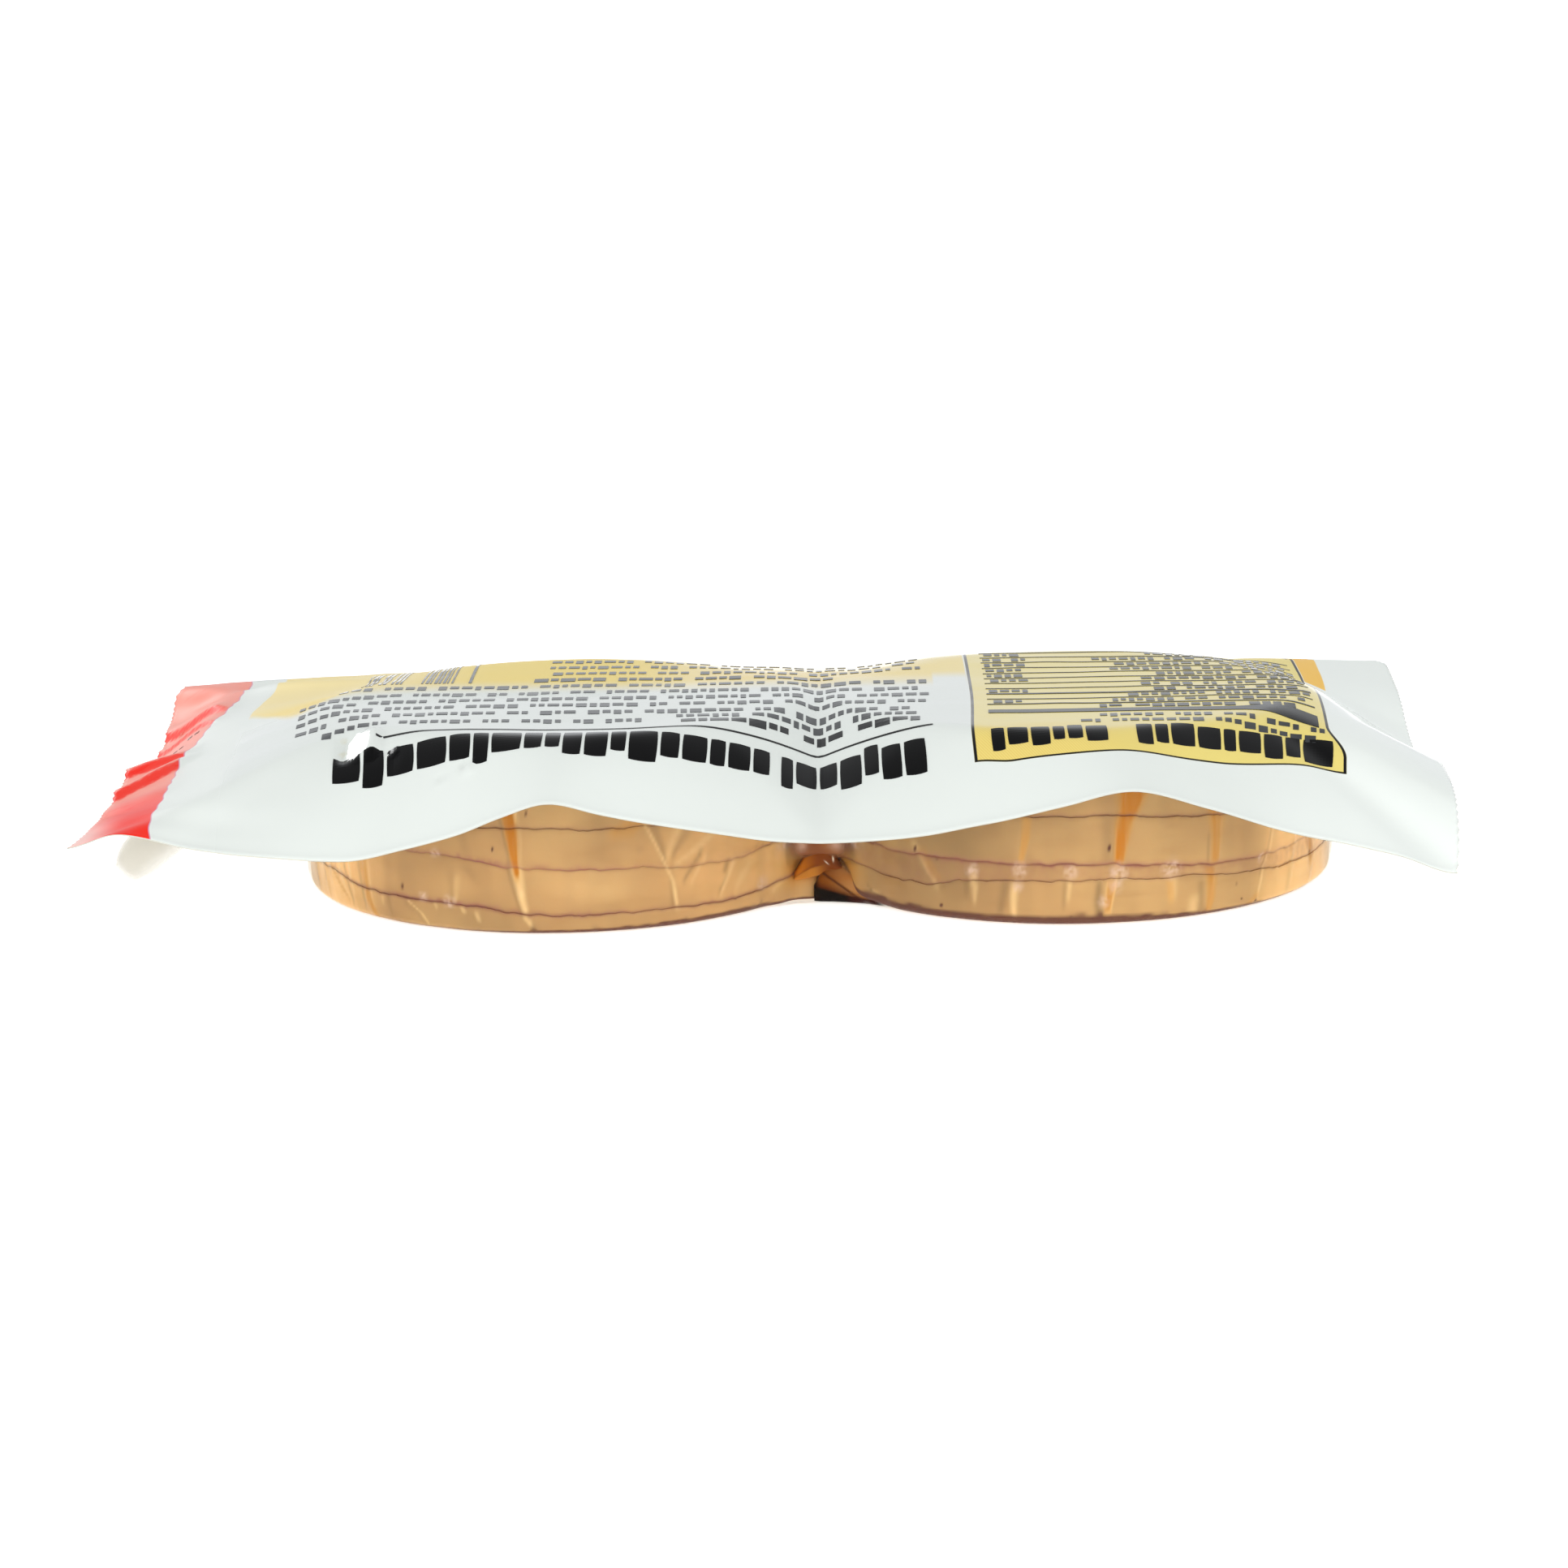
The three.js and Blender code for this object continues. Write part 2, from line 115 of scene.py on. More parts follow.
def noise2(x, y, seed=0):
    """Smooth noise from -1 to 1 over a plane."""
    i, j = np.floor(x), np.floor(y)
    tx, ty = x - i, y - j
    tx, ty = tx * tx * (3 - 2 * tx), ty * ty * (3 - 2 * ty)
    h = lambda a, b: hash01(a * 1.37 + b * 57.31, seed)
    return mix(mix(h(i, j), h(i + 1, j), tx), mix(h(i, j + 1), h(i + 1, j + 1), tx), ty) * 2 - 1


# ---------------------------------------------------------------- the printed film's top side
def left_x(y):
    return END_L - TIP * np.exp(-(y + HALF_W) / 6) + CORNER_IN * smooth(HALF_W - 4, HALF_W, y) ** 2


def right_x(y):
    return END_R - 1.2 * np.exp(-(y + HALF_W) / 4) - CORNER_IN * smooth(HALF_W - 4, HALF_W, y) ** 2


def valley_z(y):
    t = np.abs(y) / HALF_W
    return np.where(y < 0, mix(25.1, 14.6, t ** 2.3), mix(25.1, 19.5, t ** 2))


def tent(x, y):
    """The film over the stacks: a flat crown on each, then straight lines from its rim
    to the cut edge or to the valley between the stacks."""
    left = x < MID
    cx = np.where(left, STACK["left"], STACK["right"])
    dx, dy = x - cx, y
    r = np.hypot(dx, dy)
    rr = np.maximum(r, 1e-9)
    crown = np.where(left, CROWN["left"][0] - CROWN["left"][1] * y, CROWN["right"][0] - CROWN["right"][1] * y)
    far = smooth(-0.3, 0.6, dy / rr)
    rim, soft = mix(33.5, 27.0, far), mix(3.0, 10.0, far)
    big = 1e9
    sx = np.where(np.abs(dx) < 1e-9, 1e-9, dx)
    t_y = HALF_W / np.maximum(np.abs(dy), 1e-9)
    toward = np.where(left, dx > 0, dx < 0)
    t_m = np.where(toward, (MID - cx) / sx, big)
    t_x = (np.where(left, END_L, END_R) - cx) / sx
    for _ in range(4):
        yy = np.clip(dy * t_x, -HALF_W, HALF_W)
        t_x = (np.where(left, left_x(yy), right_x(yy)) - cx) / sx
    t_x = np.where(toward | (t_x <= 0), big, t_x)
    t = np.minimum(np.minimum(t_y, t_m), t_x)
    ex, ey = cx + dx * t, dy * t
    edge = np.where(t == t_y, np.where(dy < 0, along(NEAR_EDGE, ex), along(FAR_EDGE, ex)),
                    np.where(t == t_m, valley_z(ey), np.where(left, along(LEFT_EDGE, ey), along(RIGHT_EDGE, ey))))
    span = np.maximum(r * t - rim, 1e-6)
    u, e = (r - rim) / span, soft / span
    z = crown - (crown - edge) * u * u / (u + e) * (1 + e)
    return np.where(r <= rim, crown, z)


GRID = 0.5
GX = np.arange(-95.0, 96.0 + GRID / 2, GRID)
GY = np.arange(-48.0, 48.0 + GRID / 2, GRID)
MX, MY = np.meshgrid(GX, GY)


def blurred(z, times):
    for _ in range(times):
        p = np.pad(z, 1, mode="edge")
        z = (p[:-2, 1:-1] + p[2:, 1:-1] + p[1:-1, :-2] + p[1:-1, 2:] + 4 * z) / 8
    return z


def base_film():
    """The film without its fine wrinkles, on the grid."""
    inside_x = np.clip(MX, left_x(MY) + 0.01, right_x(MY) - 0.01)
    inside_y = np.clip(MY, -HALF_W, HALF_W)
    z = tent(inside_x, inside_y)
    # the film stays high as far as the strip at the left end
    want = along(SHOULDER, inside_y) - tent(np.full_like(inside_x, -81.5), inside_y)
    w = smooth(-60, -80, inside_x) * (1 - smooth(-81.5, -90.5, inside_x) ** 1.0)
    z = z + want * w
    z = z + along(FAR_FIX, inside_x) * smooth(8, 27, inside_y) * (1 - smooth(40, HALF_W, inside_y))
    return blurred(z, 8)


BASE = base_film()


def look_up(grid, x, y):
    """The grid's value at any place, without kinks from cell to cell."""
    fx = np.clip((np.asarray(x, float) - GX[0]) / GRID, 1, len(GX) - 2.001)
    fy = np.clip((np.asarray(y, float) - GY[0]) / GRID, 1, len(GY) - 2.001)
    i, j = fx.astype(int), fy.astype(int)
    a, b = fx - i, fy - j

    def weights(t):
        return (-0.5 * t + t * t - 0.5 * t ** 3, 1 - 2.5 * t * t + 1.5 * t ** 3,
                0.5 * t + 2 * t * t - 1.5 * t ** 3, -0.5 * t * t + 0.5 * t ** 3)

    wx, wy = weights(a), weights(b)
    out = 0.0
    for n in range(4):
        row = 0.0
        for k in range(4):
            row = row + wx[k] * grid[j + n - 1, i + k - 1]
        out = out + wy[n] * row
    return out


def film_coordinates():
    """Lengths along the film, from MID and from y = 0: where its print lies."""
    i0, j0 = np.argmin(abs(GX - MID)), np.argmin(abs(GY))
    u = np.hstack([np.zeros((len(GY), 1)), np.cumsum(np.hypot(GRID, np.diff(BASE, axis=1)), axis=1)])
    v = np.vstack([np.zeros((1, len(GX))), np.cumsum(np.hypot(GRID, np.diff(BASE, axis=0)), axis=0)])
    return u - u[:, i0:i0 + 1] + GX[i0], v - v[j0:j0 + 1, :]


FILM_U, FILM_V = film_coordinates()


# ---------------------------------------------------------------- meshes
def make(name, points, quads, body="root", tris=(), attrs=None, smooth_faces=True):
    """A mesh object from points in millimetres, with smooth faces and vertex attributes."""
    me = bpy.data.meshes.new(name)
    faces = [tuple(int(i) for i in f) for f in quads] + [tuple(int(i) for i in f) for f in tris]
    me.from_pydata((np.asarray(points, float) * 0.001).tolist(), [], faces)
    for key, values in (attrs or {}).items():
        a = me.attributes.new(key, "FLOAT_VECTOR", "POINT")
        a.data.foreach_set("vector", np.asarray(values, np.float32).ravel())
    me.polygons.foreach_set("use_smooth", [smooth_faces] * len(me.polygons))
    me.update()
    o = bpy.data.objects.new(name, me)
    bpy.context.scene.collection.objects.link(o)
    if body:
        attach(o, body)
    return o


def grid_faces(rows, cols, start=0, closed=False, flip=False):
    """Quads of a grid of points, row after row. closed joins the last column to the first."""
    r = np.arange(rows - 1)[:, None]
    c = np.arange(cols if closed else cols - 1)[None, :]
    n = (c + 1) % cols
    a, b = start + r * cols + c, start + r * cols + n
    d, e = start + (r + 1) * cols + c, start + (r + 1) * cols + n
    q = np.stack([a, b, e, d] if not flip else [a, d, e, b], -1)
    return q.reshape(-1, 4)


# ---------------------------------------------------------------- node materials
class Net:
    """Short ways to write a material's nodes."""

    def __init__(self, name):
        self.material = bpy.data.materials.new(name)
        self.material.use_nodes = True
        self.tree = self.material.node_tree
        self.tree.nodes.clear()
        self.out = self.tree.nodes.new("ShaderNodeOutputMaterial")

    def node(self, kind, **props):
        n = self.tree.nodes.new(kind)
        for k, v in props.items():
            setattr(n, k, v)
        return n

    def put(self, socket, value):
        if isinstance(value, Value):
            value = value.socket
        if isinstance(value, bpy.types.NodeSocket):
            self.tree.links.new(value, socket)
        elif value is not None:
            socket.default_value = value

    def math(self, op, *args, clamp=False):
        n = self.node("ShaderNodeMath", operation=op, use_clamp=clamp)
        for i, a in enumerate(args):
            self.put(n.inputs[i], a)
        return Value(self, n.outputs[0])

    def attribute(self, name):
        n = self.node("ShaderNodeAttribute", attribute_name=name)
        s = self.node("ShaderNodeSeparateXYZ")
        self.put(s.inputs[0], n.outputs["Vector"])
        return n.outputs["Vector"], Value(self, s.outputs[0]), Value(self, s.outputs[1]), Value(self, s.outputs[2])

    def place(self):
        return self.node("ShaderNodeTexCoord").outputs["Object"]

    def noise(self, vector, scale, detail=2.0, rough=0.5, dist=0.0, dims="3D"):
        n = self.node("ShaderNodeTexNoise", noise_dimensions=dims)
        self.put(n.inputs["Vector"], vector)
        self.put(n.inputs["Scale"], scale)
        self.put(n.inputs["Detail"], detail)
        self.put(n.inputs["Roughness"], rough)
        self.put(n.inputs["Distortion"], dist)
        return Value(self, n.outputs["Fac"] if "Fac" in n.outputs else n.outputs[0])

    def random(self, a, b=0.0):
        n = self.node("ShaderNodeTexWhiteNoise", noise_dimensions="2D")
        c = self.node("ShaderNodeCombineXYZ")
        self.put(c.inputs[0], a)
        self.put(c.inputs[1], b)
        self.put(n.inputs["Vector"], c.outputs[0])
        return Value(self, n.outputs["Value"])

    def stretch(self, vector, x, y, z, shift=(0, 0, 0)):
        n = self.node("ShaderNodeMapping")
        self.put(n.inputs["Vector"], vector)
        n.inputs["Scale"].default_value = (x, y, z)
        n.inputs["Location"].default_value = shift
        return n.outputs[0]

    def vector(self, x, y, z=0.0):
        c = self.node("ShaderNodeCombineXYZ")
        for i, v in enumerate((x, y, z)):
            self.put(c.inputs[i], v)
        return c.outputs[0]

    def mix_colour(self, fac, a, b):
        n = self.node("ShaderNodeMix", data_type="RGBA", clamp_factor=True)
        self.put(n.inputs[0], fac)
        self.put(n.inputs[6], a)
        self.put(n.inputs[7], b)
        return n.outputs[2]

    def step(self, v, at, width=0.08):
        """0 below `at`, 1 above, over a soft edge."""
        t = self.math("MULTIPLY_ADD", v - at, 1.0 / width, 0.5, clamp=True)
        return t

    def band(self, v, a, b, width=0.08):
        return self.step(v, a, width) * (1.0 - self.step(v, b, width))

    def ramp(self, v, a, b):
        """Smooth step from a to b."""
        n = self.node("ShaderNodeMapRange", interpolation_type="SMOOTHSTEP")
        self.put(n.inputs[0], v)
        n.inputs[1].default_value = a
        n.inputs[2].default_value = b
        n.inputs[3].default_value = 0.0
        n.inputs[4].default_value = 1.0
        return Value(self, n.outputs[0])


class Value:
    def __init__(self, net, socket):
        self.net, self.socket = net, socket

    def __add__(self, o): return self.net.math("ADD", self, o)
    def __radd__(self, o): return self.net.math("ADD", o, self)
    def __sub__(self, o): return self.net.math("SUBTRACT", self, o)
    def __rsub__(self, o): return self.net.math("SUBTRACT", o, self)
    def __mul__(self, o): return self.net.math("MULTIPLY", self, o)
    def __rmul__(self, o): return self.net.math("MULTIPLY", o, self)
    def __truediv__(self, o): return self.net.math("DIVIDE", self, o)
    def __neg__(self): return self.net.math("MULTIPLY", self, -1.0)
    def max(self, o): return self.net.math("MAXIMUM", self, o)
    def min(self, o): return self.net.math("MINIMUM", self, o)
    def abs(self): return self.net.math("ABSOLUTE", self)
    def floor(self): return self.net.math("FLOOR", self)
    def fract(self): return self.net.math("FRACT", self)
    def power(self, p): return self.net.math("POWER", self, p)
    def clamped(self): return self.net.math("ADD", self, 0.0, clamp=True)


def rgb(r, g, b):
    """A linear colour from screen values of 0 to 255."""
    f = lambda v: v / 12.92 if v <= 0.04045 else ((v + 0.055) / 1.055) ** 2.4
    return (f(r / 255), f(g / 255), f(b / 255), 1.0)


# ---------------------------------------------------------------- the printed film
def ridge(x, y, x0, y0, slope, near, far, height, start, full):
    """A fold that runs from the shoulder out to the left end: steep on its near side."""
    t = y - (y0 + slope * (x - x0))
    shape = np.where(t < 0, smooth(-near, 0, t), 1 - smooth(0, far, t))
    return height * shape * smooth(start, full, -x)


FLAT_SLOPE = (0.60, 0.35)
FLATS = [(-55.5, -28.6, 2.0, 2.7, 0.8), (-40.2, -37.55, 0.7, 0.8, 0.8), (-43.5, -38.6, 0.45, 0.5, 0.8), (-50.7, -31.6, 0.6, 0.7, 0.8)]


def wrinkles(x, y):
    z = np.zeros_like(x)
    # the strip at the left end
    z += ridge(x, y, -81, 25.3, -0.75, 2.0, 7.0, 0.95, 78.0, 83.0)
    z += ridge(x, y, -81, 15.0, -0.9, 1.4, 5.0, 0.55, 78.5, 83.0)
    z += ridge(x, y, -82, -5.6, 0.35, 2.2, 7.0, 0.95, 79.5, 84.0)
    z += ridge(x, y, -82, -10.8, 1.05, 3.2, 5.0, 1.15, 79.0, 84.0)
    z += ridge(x, y, -82, -27.5, 0.3, 4.5, 7.0, 0.40, 79.5, 85.0)
    z += 0.10 * noise2(x * 0.10, y * 0.30 + x * 0.16, 3) * smooth(79, 84, -x)
    # the crown sinks a little behind the near rim of the left stack
    z -= 0.5 * np.exp(-((x + 25) / 11) ** 2 - ((y + 26) / 8) ** 2)
    # small flats pressed into the film, which catch the light
    for fx, fy, half_x, half_y, soft_ in FLATS:
        d = (np.abs((x - fx) / half_x) ** 4 + np.abs((y - fy) / half_y) ** 4) ** 0.25
        w = 1 - smooth(0.9, 0.9 + soft_, d)
        if np.any(w > 0):
            plane = look_up(BASE, fx, fy) + FLAT_SLOPE[0] * (x - fx) + FLAT_SLOPE[1] * (y - fy)
            z += w * (plane - look_up(BASE, x, y))
    z -= 0.18 * np.exp(-((x + 50.6) / 0.9) ** 2 - ((y + 33.4) / 2.2) ** 2)
    # faint waves all over, as of a stiff film that has been handled
    z += 0.10 * noise2(x / 13, y / 9, 5) + 0.035 * noise2(x / 4.5, y / 3.6, 6)
    return z


def lid():
    cols, rows = 301, 157
    s = np.linspace(0, 1, cols)[None, :]
    y = np.linspace(-HALF_W, HALF_W, rows)[:, None] * np.ones_like(s)
    tooth = np.where(np.arange(rows) % 2 == 0, 0.0, 0.28)[:, None]
    l, r = left_x(y) + tooth, right_x(y) - tooth
    x = l + (r - l) * s
    z = look_up(BASE, x, y) + wrinkles(x, y)
    u, v = look_up(FILM_U, x, y), look_up(FILM_V, x, y)
    # where the photo's print lies on the steep flange at the right
    v = v - 4.0 * smooth(55, 80, u) * smooth(-22, -34, v)
    top = np.stack([x, y, z], -1).reshape(-1, 3)
    bottom = top - [0, 0, LID]
    n = rows * cols
    quads = [grid_faces(rows, cols), grid_faces(rows, cols, n, flip=True)]
    edge = np.concatenate([np.arange(cols), np.arange(1, rows) * cols + cols - 1,
                           (rows - 1) * cols + np.arange(cols - 2, -1, -1), np.arange(rows - 2, 0, -1) * cols])
    nxt = np.roll(edge, -1)
    quads.append(np.stack([edge, edge + n, nxt + n, nxt], -1))
    film = np.stack([u, v, np.ones_like(u)], -1).reshape(-1, 3)
    under = film.copy()
    under[:, 2] = 0
    # what sets the red strip's painted sheen: full red where a fold faces the near side and over the near part; tip
    # marks the near tip, where it is paler still
    rise = (wrinkles(x, y + 0.35) - wrinkles(x, y - 0.35)) / 0.7
    front = smooth(0.02, 0.26, rise) * smooth(78, 82, -x)
    low = smooth(-20, -34, y) * (1 - smooth(87.5, 92.5, -x))
    tip = smooth(86, 92, -x) * smooth(-34, -43, y)
    strip = np.stack([np.maximum(front, low), tip, 0 * x], -1).reshape(-1, 3)
    return make("lid_print", np.vstack([top, bottom]), np.vstack(quads), attrs={"film": np.vstack([film, under]), "strip": np.vstack([strip, strip])})


def lid_material():
    m = Net("printed_film")
    vec, u, v, skin = m.attribute("film")
    colour = m.mix_colour(m.ramp(u, 60.0, 84.0), rgb(*LID_WHITE), rgb(247, 252, 247))

    def bump_at(x, centre, width):
        """1 at a place, falling away on both sides."""
        t = (x - centre) / width
        return m.math("EXPONENT", t * t * -1.0)

    # the yellow field on the far half, fading out towards the near side
    fade_at = 4.6 - 11.0 * bump_at(u, -66.5, 4.6) + 3.5 * m.ramp(-1.0 * u, 71.5, 75.5) + 1.2 * m.math("SINE", u * 0.11)
    soft = 6.0 - 3.6 * m.ramp(-1.0 * u, 58.0, 68.0)
    fade = ((v - fade_at) / soft * 0.5 + 0.5).clamped()
    fade = m.ramp(fade, 0.0, 1.0)
    field = m.step(u - 1.5 * m.ramp(v, 20.0, 34.0), -75.1, 0.25) * (1.0 - m.step(u, 28.4, 0.2)) * fade
    gap = m.band(u, 23.6, 28.4, 0.3) * (1.0 - m.ramp(v, 6.0, 14.0))
    field = field * (1.0 - gap)
    right_field = m.band(u, 77.9, 81.3, 0.15) * m.step(v, 13.6, 0.4)
    # the ink lies thicker in the waist and at the far left
    rich = (bump_at(u, 2.0, 13.0) * m.ramp(v, 2.0, 12.0)).max(m.ramp(-1.0 * u, 58.0, 66.0) * (1.0 - m.ramp(v, -5.0, 12.0)) * 0.5)
    yellow = m.mix_colour(rich, rgb(*FIELD_YELLOW), rgb(*FIELD_RICH))
    yellow = m.mix_colour(m.ramp(-1.0 * u, 40.0, 56.0) * m.ramp(v, -4.0, 12.0) * 0.75, yellow, rgb(253, 234, 172))
    colour = m.mix_colour(field, colour, yellow)
    colour = m.mix_colour(right_field, colour, rgb(255, 198, 44))
    # the ruled panel
    side = 77.8 + 2.4 * m.ramp(-1.0 * v, 24.0, 35.0)
    low_edge = -39.4 + 1.2 * m.ramp(u, 62.0, 76.0) + 1.0 * m.ramp(-1.0 * u, -34.0, -28.6)
    panel = m.step(u, 28.6) * (1.0 - m.step(u - side, 0.0)) * m.step(v - low_edge, 0.0)
    colour = m.mix_colour(panel, colour, rgb(*PANEL_YELLOW))
    screen = m.math("SINE", (u + v * 0.55) * 17.0) * 0.5 + 0.5
    grain = panel * screen * m.ramp(-1.0 * v, 26.0, 36.0) * (1.0 - m.ramp(u, 36.0, 62.0))
    colour = m.mix_colour(grain * 0.30, colour, rgb(226, 160, 60))
    inner = m.step(u, 28.6 + 0.42) * (1.0 - m.step(u - side, -0.42)) * m.step(v - low_edge, 0.34)
    colour = m.mix_colour(panel * (1.0 - inner), colour, rgb(*INK))
    # the strip at the left end: red ink under a pale painted sheen, full red where folds face the near side and over
    # the near part, paler still at the near tip
    edge = -84.0 + 5.0 * m.ramp(v, -15.0, 45.0) + 0.12 * m.math("SINE", v * 1.3)
    strip = 1.0 - m.step(u - edge, 0.0, 0.1)
    vec_s, front, tip, spare = m.attribute("strip")
    veins = m.noise(m.vector(u * 0.25 + v * 0.10, v * 0.9 - u * 0.35, 0.0), 1.0, 3.0, 0.5)
    deep = 0.45 * m.ramp(-1.0 * v, 33.0, 44.0)
    red = m.mix_colour((front * 0.92 + 0.16 * m.ramp(veins, 0.55, 0.75) + deep).clamped(), rgb(*STRIP_PAINTED_SHEEN), rgb(*STRIP_RED))
    red = m.mix_colour(tip * 0.85, red, rgb(255, 214, 206))
    colour = m.mix_colour(strip, colour, red)
    line = m.band(u - edge, -0.05, 0.16, 0.1)
    colour = m.mix_colour(line * 0.6, colour, rgb(222, 70, 140))
    # the film's underside is plain white, and its cut edge is pale yellow
    colour = m.mix_colour(m.step(skin, 0.92, 0.1), rgb(205, 206, 194), colour)
    colour = m.mix_colour(1.0 - m.step(skin, 0.08, 0.1), colour, rgb(228, 230, 226))
    p = m.node("ShaderNodeBsdfPrincipled")
    m.put(p.inputs["Base Color"], colour)
    p.inputs["IOR"].default_value = 1.5
    # dull where the film is slack, at the strip and over the far left
    dull = m.ramp(v, -12.0, 2.0) * m.ramp(-1.0 * u, 5.0, 25.0)
    dull = dull.max(m.ramp(-1.0 * u, 72.0, 78.0)).max(m.ramp(v, 0.0, 16.0) * m.ramp(u, 62.0, 72.0))
    rough = 0.06 + 0.07 * m.noise(m.place(), 90.0, 3.0) + 0.36 * dull
    m.put(p.inputs["Roughness"], rough)
    bump = m.node("ShaderNodeBump")
    bump.inputs["Strength"].default_value = 0.03
    bump.inputs["Distance"].default_value = 0.0004
    m.put(bump.inputs["Height"], m.noise(m.place(), 260.0, 3.0, 0.6))
    m.put(p.inputs["Normal"], bump.outputs[0])
    m.put(m.out.inputs["Surface"], p.outputs[0])
    return m.material


LID_WHITE = (236, 241, 236)
FIELD_YELLOW = (250, 224, 126)
FIELD_RICH = (252, 217, 84)
PANEL_YELLOW = (244, 224, 128)
STRIP_RED = (255, 36, 10)
# the red strip's pale painted sheen
STRIP_PAINTED_SHEEN = (255, 158, 140)
INK = (3, 3, 4)
INK_SMALL = (60, 62, 64)

lid_piece = lid()
lid_piece.data.materials.append(lid_material())
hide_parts("lid_film")


# ---------------------------------------------------------------- the dark ink, as thin raised marks
def on_film(u, v):
    """The place on the pack where the film's own lengths are u and v."""
    x, y = np.array(u, float), np.array(v, float)
    for _ in range(14):
        vv = look_up(FILM_V, x, y) - 4.0 * smooth(55, 80, u) * smooth(-22, -34, v)
        x = np.clip(x - 0.9 * (look_up(FILM_U, x, y) - u), -93, 93)
        y = np.clip(y - 0.9 * (vv - v), -46.3, 46.3)
    return x, y


class Ink:
    """Marks gathered into one mesh: each is a thin slab that follows the film."""

    def __init__(self):
        self.points, self.quads, self.start = [], [], 0

    def patch(self, u, v):
        rows, cols = u.shape
        self.points.append(np.stack([u.ravel(), v.ravel()], -1))
        self.quads.append((rows, cols))

    def block(self, u0, u1, v0, v1, across=3, along_=3, round_=0.0, lean=0.0):
        a = np.linspace(-1, 1, across)[None, :] * np.ones((along_, 1))
        b = np.linspace(-1, 1, along_)[:, None] * np.ones((1, across))
        if round_ > 0:
            ca, cb = a * np.sqrt(1 - round_ * b * b / 2), b * np.sqrt(1 - round_ * a * a / 2)
            a, b = ca, cb
        u = (u0 + u1) / 2 + a * (u1 - u0) / 2 + lean * b
        v = (v0 + v1) / 2 + b * (v1 - v0) / 2
        self.patch(u, v)

    def words(self, u0, u1, v, height, letter, word, seed, gap=0.26, sag=None, thick=0.62):
        """A row of small text: short and tall bars in groups."""
        u, n = u0 + 0.4 * letter * float(hash01(seed, 1)), 0
        while u < u1 - letter:
            long_ = 2 + int(float(hash01(n, seed)) * 2 * word)
            for k in range(long_):
                r1, r2 = float(hash01(n * 17 + k, seed + 3)), float(hash01(n * 13 + k, seed + 5))
                w = letter * (0.55 + 0.75 * r1) * (1 - gap)
                if u + w > u1:
                    return
                h = height * (0.70 if r2 < 0.62 else 1.0)
                base = height * 0.35 * (1 if r2 > 0.9 else 0)
                dv = 0.0 if sag is None else float(sag(u + w / 2))
                self.block(u, u + w, v - height / 2 + dv + (height - h), v + height / 2 + dv)
                u += w + letter * gap
            u += letter * 0.75
            n += 1

    def rule(self, u0, u1, v, width, sag=None, wide=None):
        n = max(2, int((u1 - u0) / 0.9))
        u = np.linspace(u0, u1, n)
        dv = np.zeros(n) if sag is None else np.array([float(sag(q)) for q in u])
        w = np.full(n, width) if wide is None else np.array([float(wide(q)) for q in u])
        rows = 2 + int(w.max() / 0.8)
        across = np.linspace(-0.5, 0.5, rows)[:, None]
        self.patch(np.repeat(u[None], rows, 0), (v + dv)[None] + across * w[None])

    def heading(self, u0, u1, foot, head, pitch, seed, tall=0.0, gap=0.42):
        """A bold word as solid blocks of uneven width and height."""
        u, n = u0, 0
        while u < u1 - 1.0:
            r1, r2 = float(hash01(n, seed)), float(hash01(n, seed + 2))
            w = pitch * (0.62 + 0.7 * r1)
            if u + w > u1 - 0.8:
                w = u1 - u
            up = head - (tall if r2 > 0.68 else 0.0)
            down = foot + (tall * 0.8 if 0.30 < r2 < 0.38 else 0.0)
            cols, rows = max(4, int(w / 0.45)), max(6, int((down - up) / 0.5))
            self.block(u, u + w - gap, up, down, cols, rows, round_=0.22)
            u += w
            n += 1

    def build(self, name):
        uv = np.vstack(self.points)
        x, y = on_film(uv[:, 0], uv[:, 1])
        z = look_up(BASE, x, y) + wrinkles(x, y)
        top = np.stack([x, y, z + 0.075], -1)
        low = np.stack([x, y, z - 0.06], -1)
        P, Q, at, start = [], [], 0, 0
        for rows, cols in self.quads:
            n = rows * cols
            P += [top[at:at + n], low[at:at + n]]
            at += n
            Q.append(grid_faces(rows, cols, start))
            Q.append(grid_faces(rows, cols, start + n, flip=True))
            loop = np.concatenate([np.arange(cols), np.arange(1, rows) * cols + cols - 1,
                                   (rows - 1) * cols + np.arange(cols - 2, -1, -1), np.arange(rows - 2, 0, -1) * cols])
            nx_ = np.roll(loop, -1)
            Q.append(np.stack([start + loop, start + loop + n, start + nx_ + n, start + nx_], -1))
            start += 2 * n
        return make(name, np.vstack(P), np.vstack(Q), smooth_faces=False)


def ink_material(name, colour, rough):
    m = Net(name)
    n = m.noise(m.place(), 500.0, 2.0)
    p = m.node("ShaderNodeBsdfPrincipled")
    m.put(p.inputs["Base Color"], m.mix_colour(n * 0.5, colour, tuple(c * 1.5 + 0.002 for c in colour[:3]) + (1.0,)))
    p.inputs["Roughness"].default_value = rough
    p.inputs["IOR"].default_value = 1.5
    p.inputs["Specular IOR Level"].default_value = 0.25
    m.put(m.out.inputs["Surface"], p.outputs[0])
    return m.material


black, grey = Ink(), Ink()
# the main heading, two bold words, with a thin rule beyond them
black.heading(-60.0, 0.6, -31.3, -36.9, 3.5, 41, tall=1.5)
black.heading(1.8, 22.6, -31.3, -37.0, 3.2, 52, tall=1.6)
black.rule(-54.0, 23.4, -28.2, 0.40)
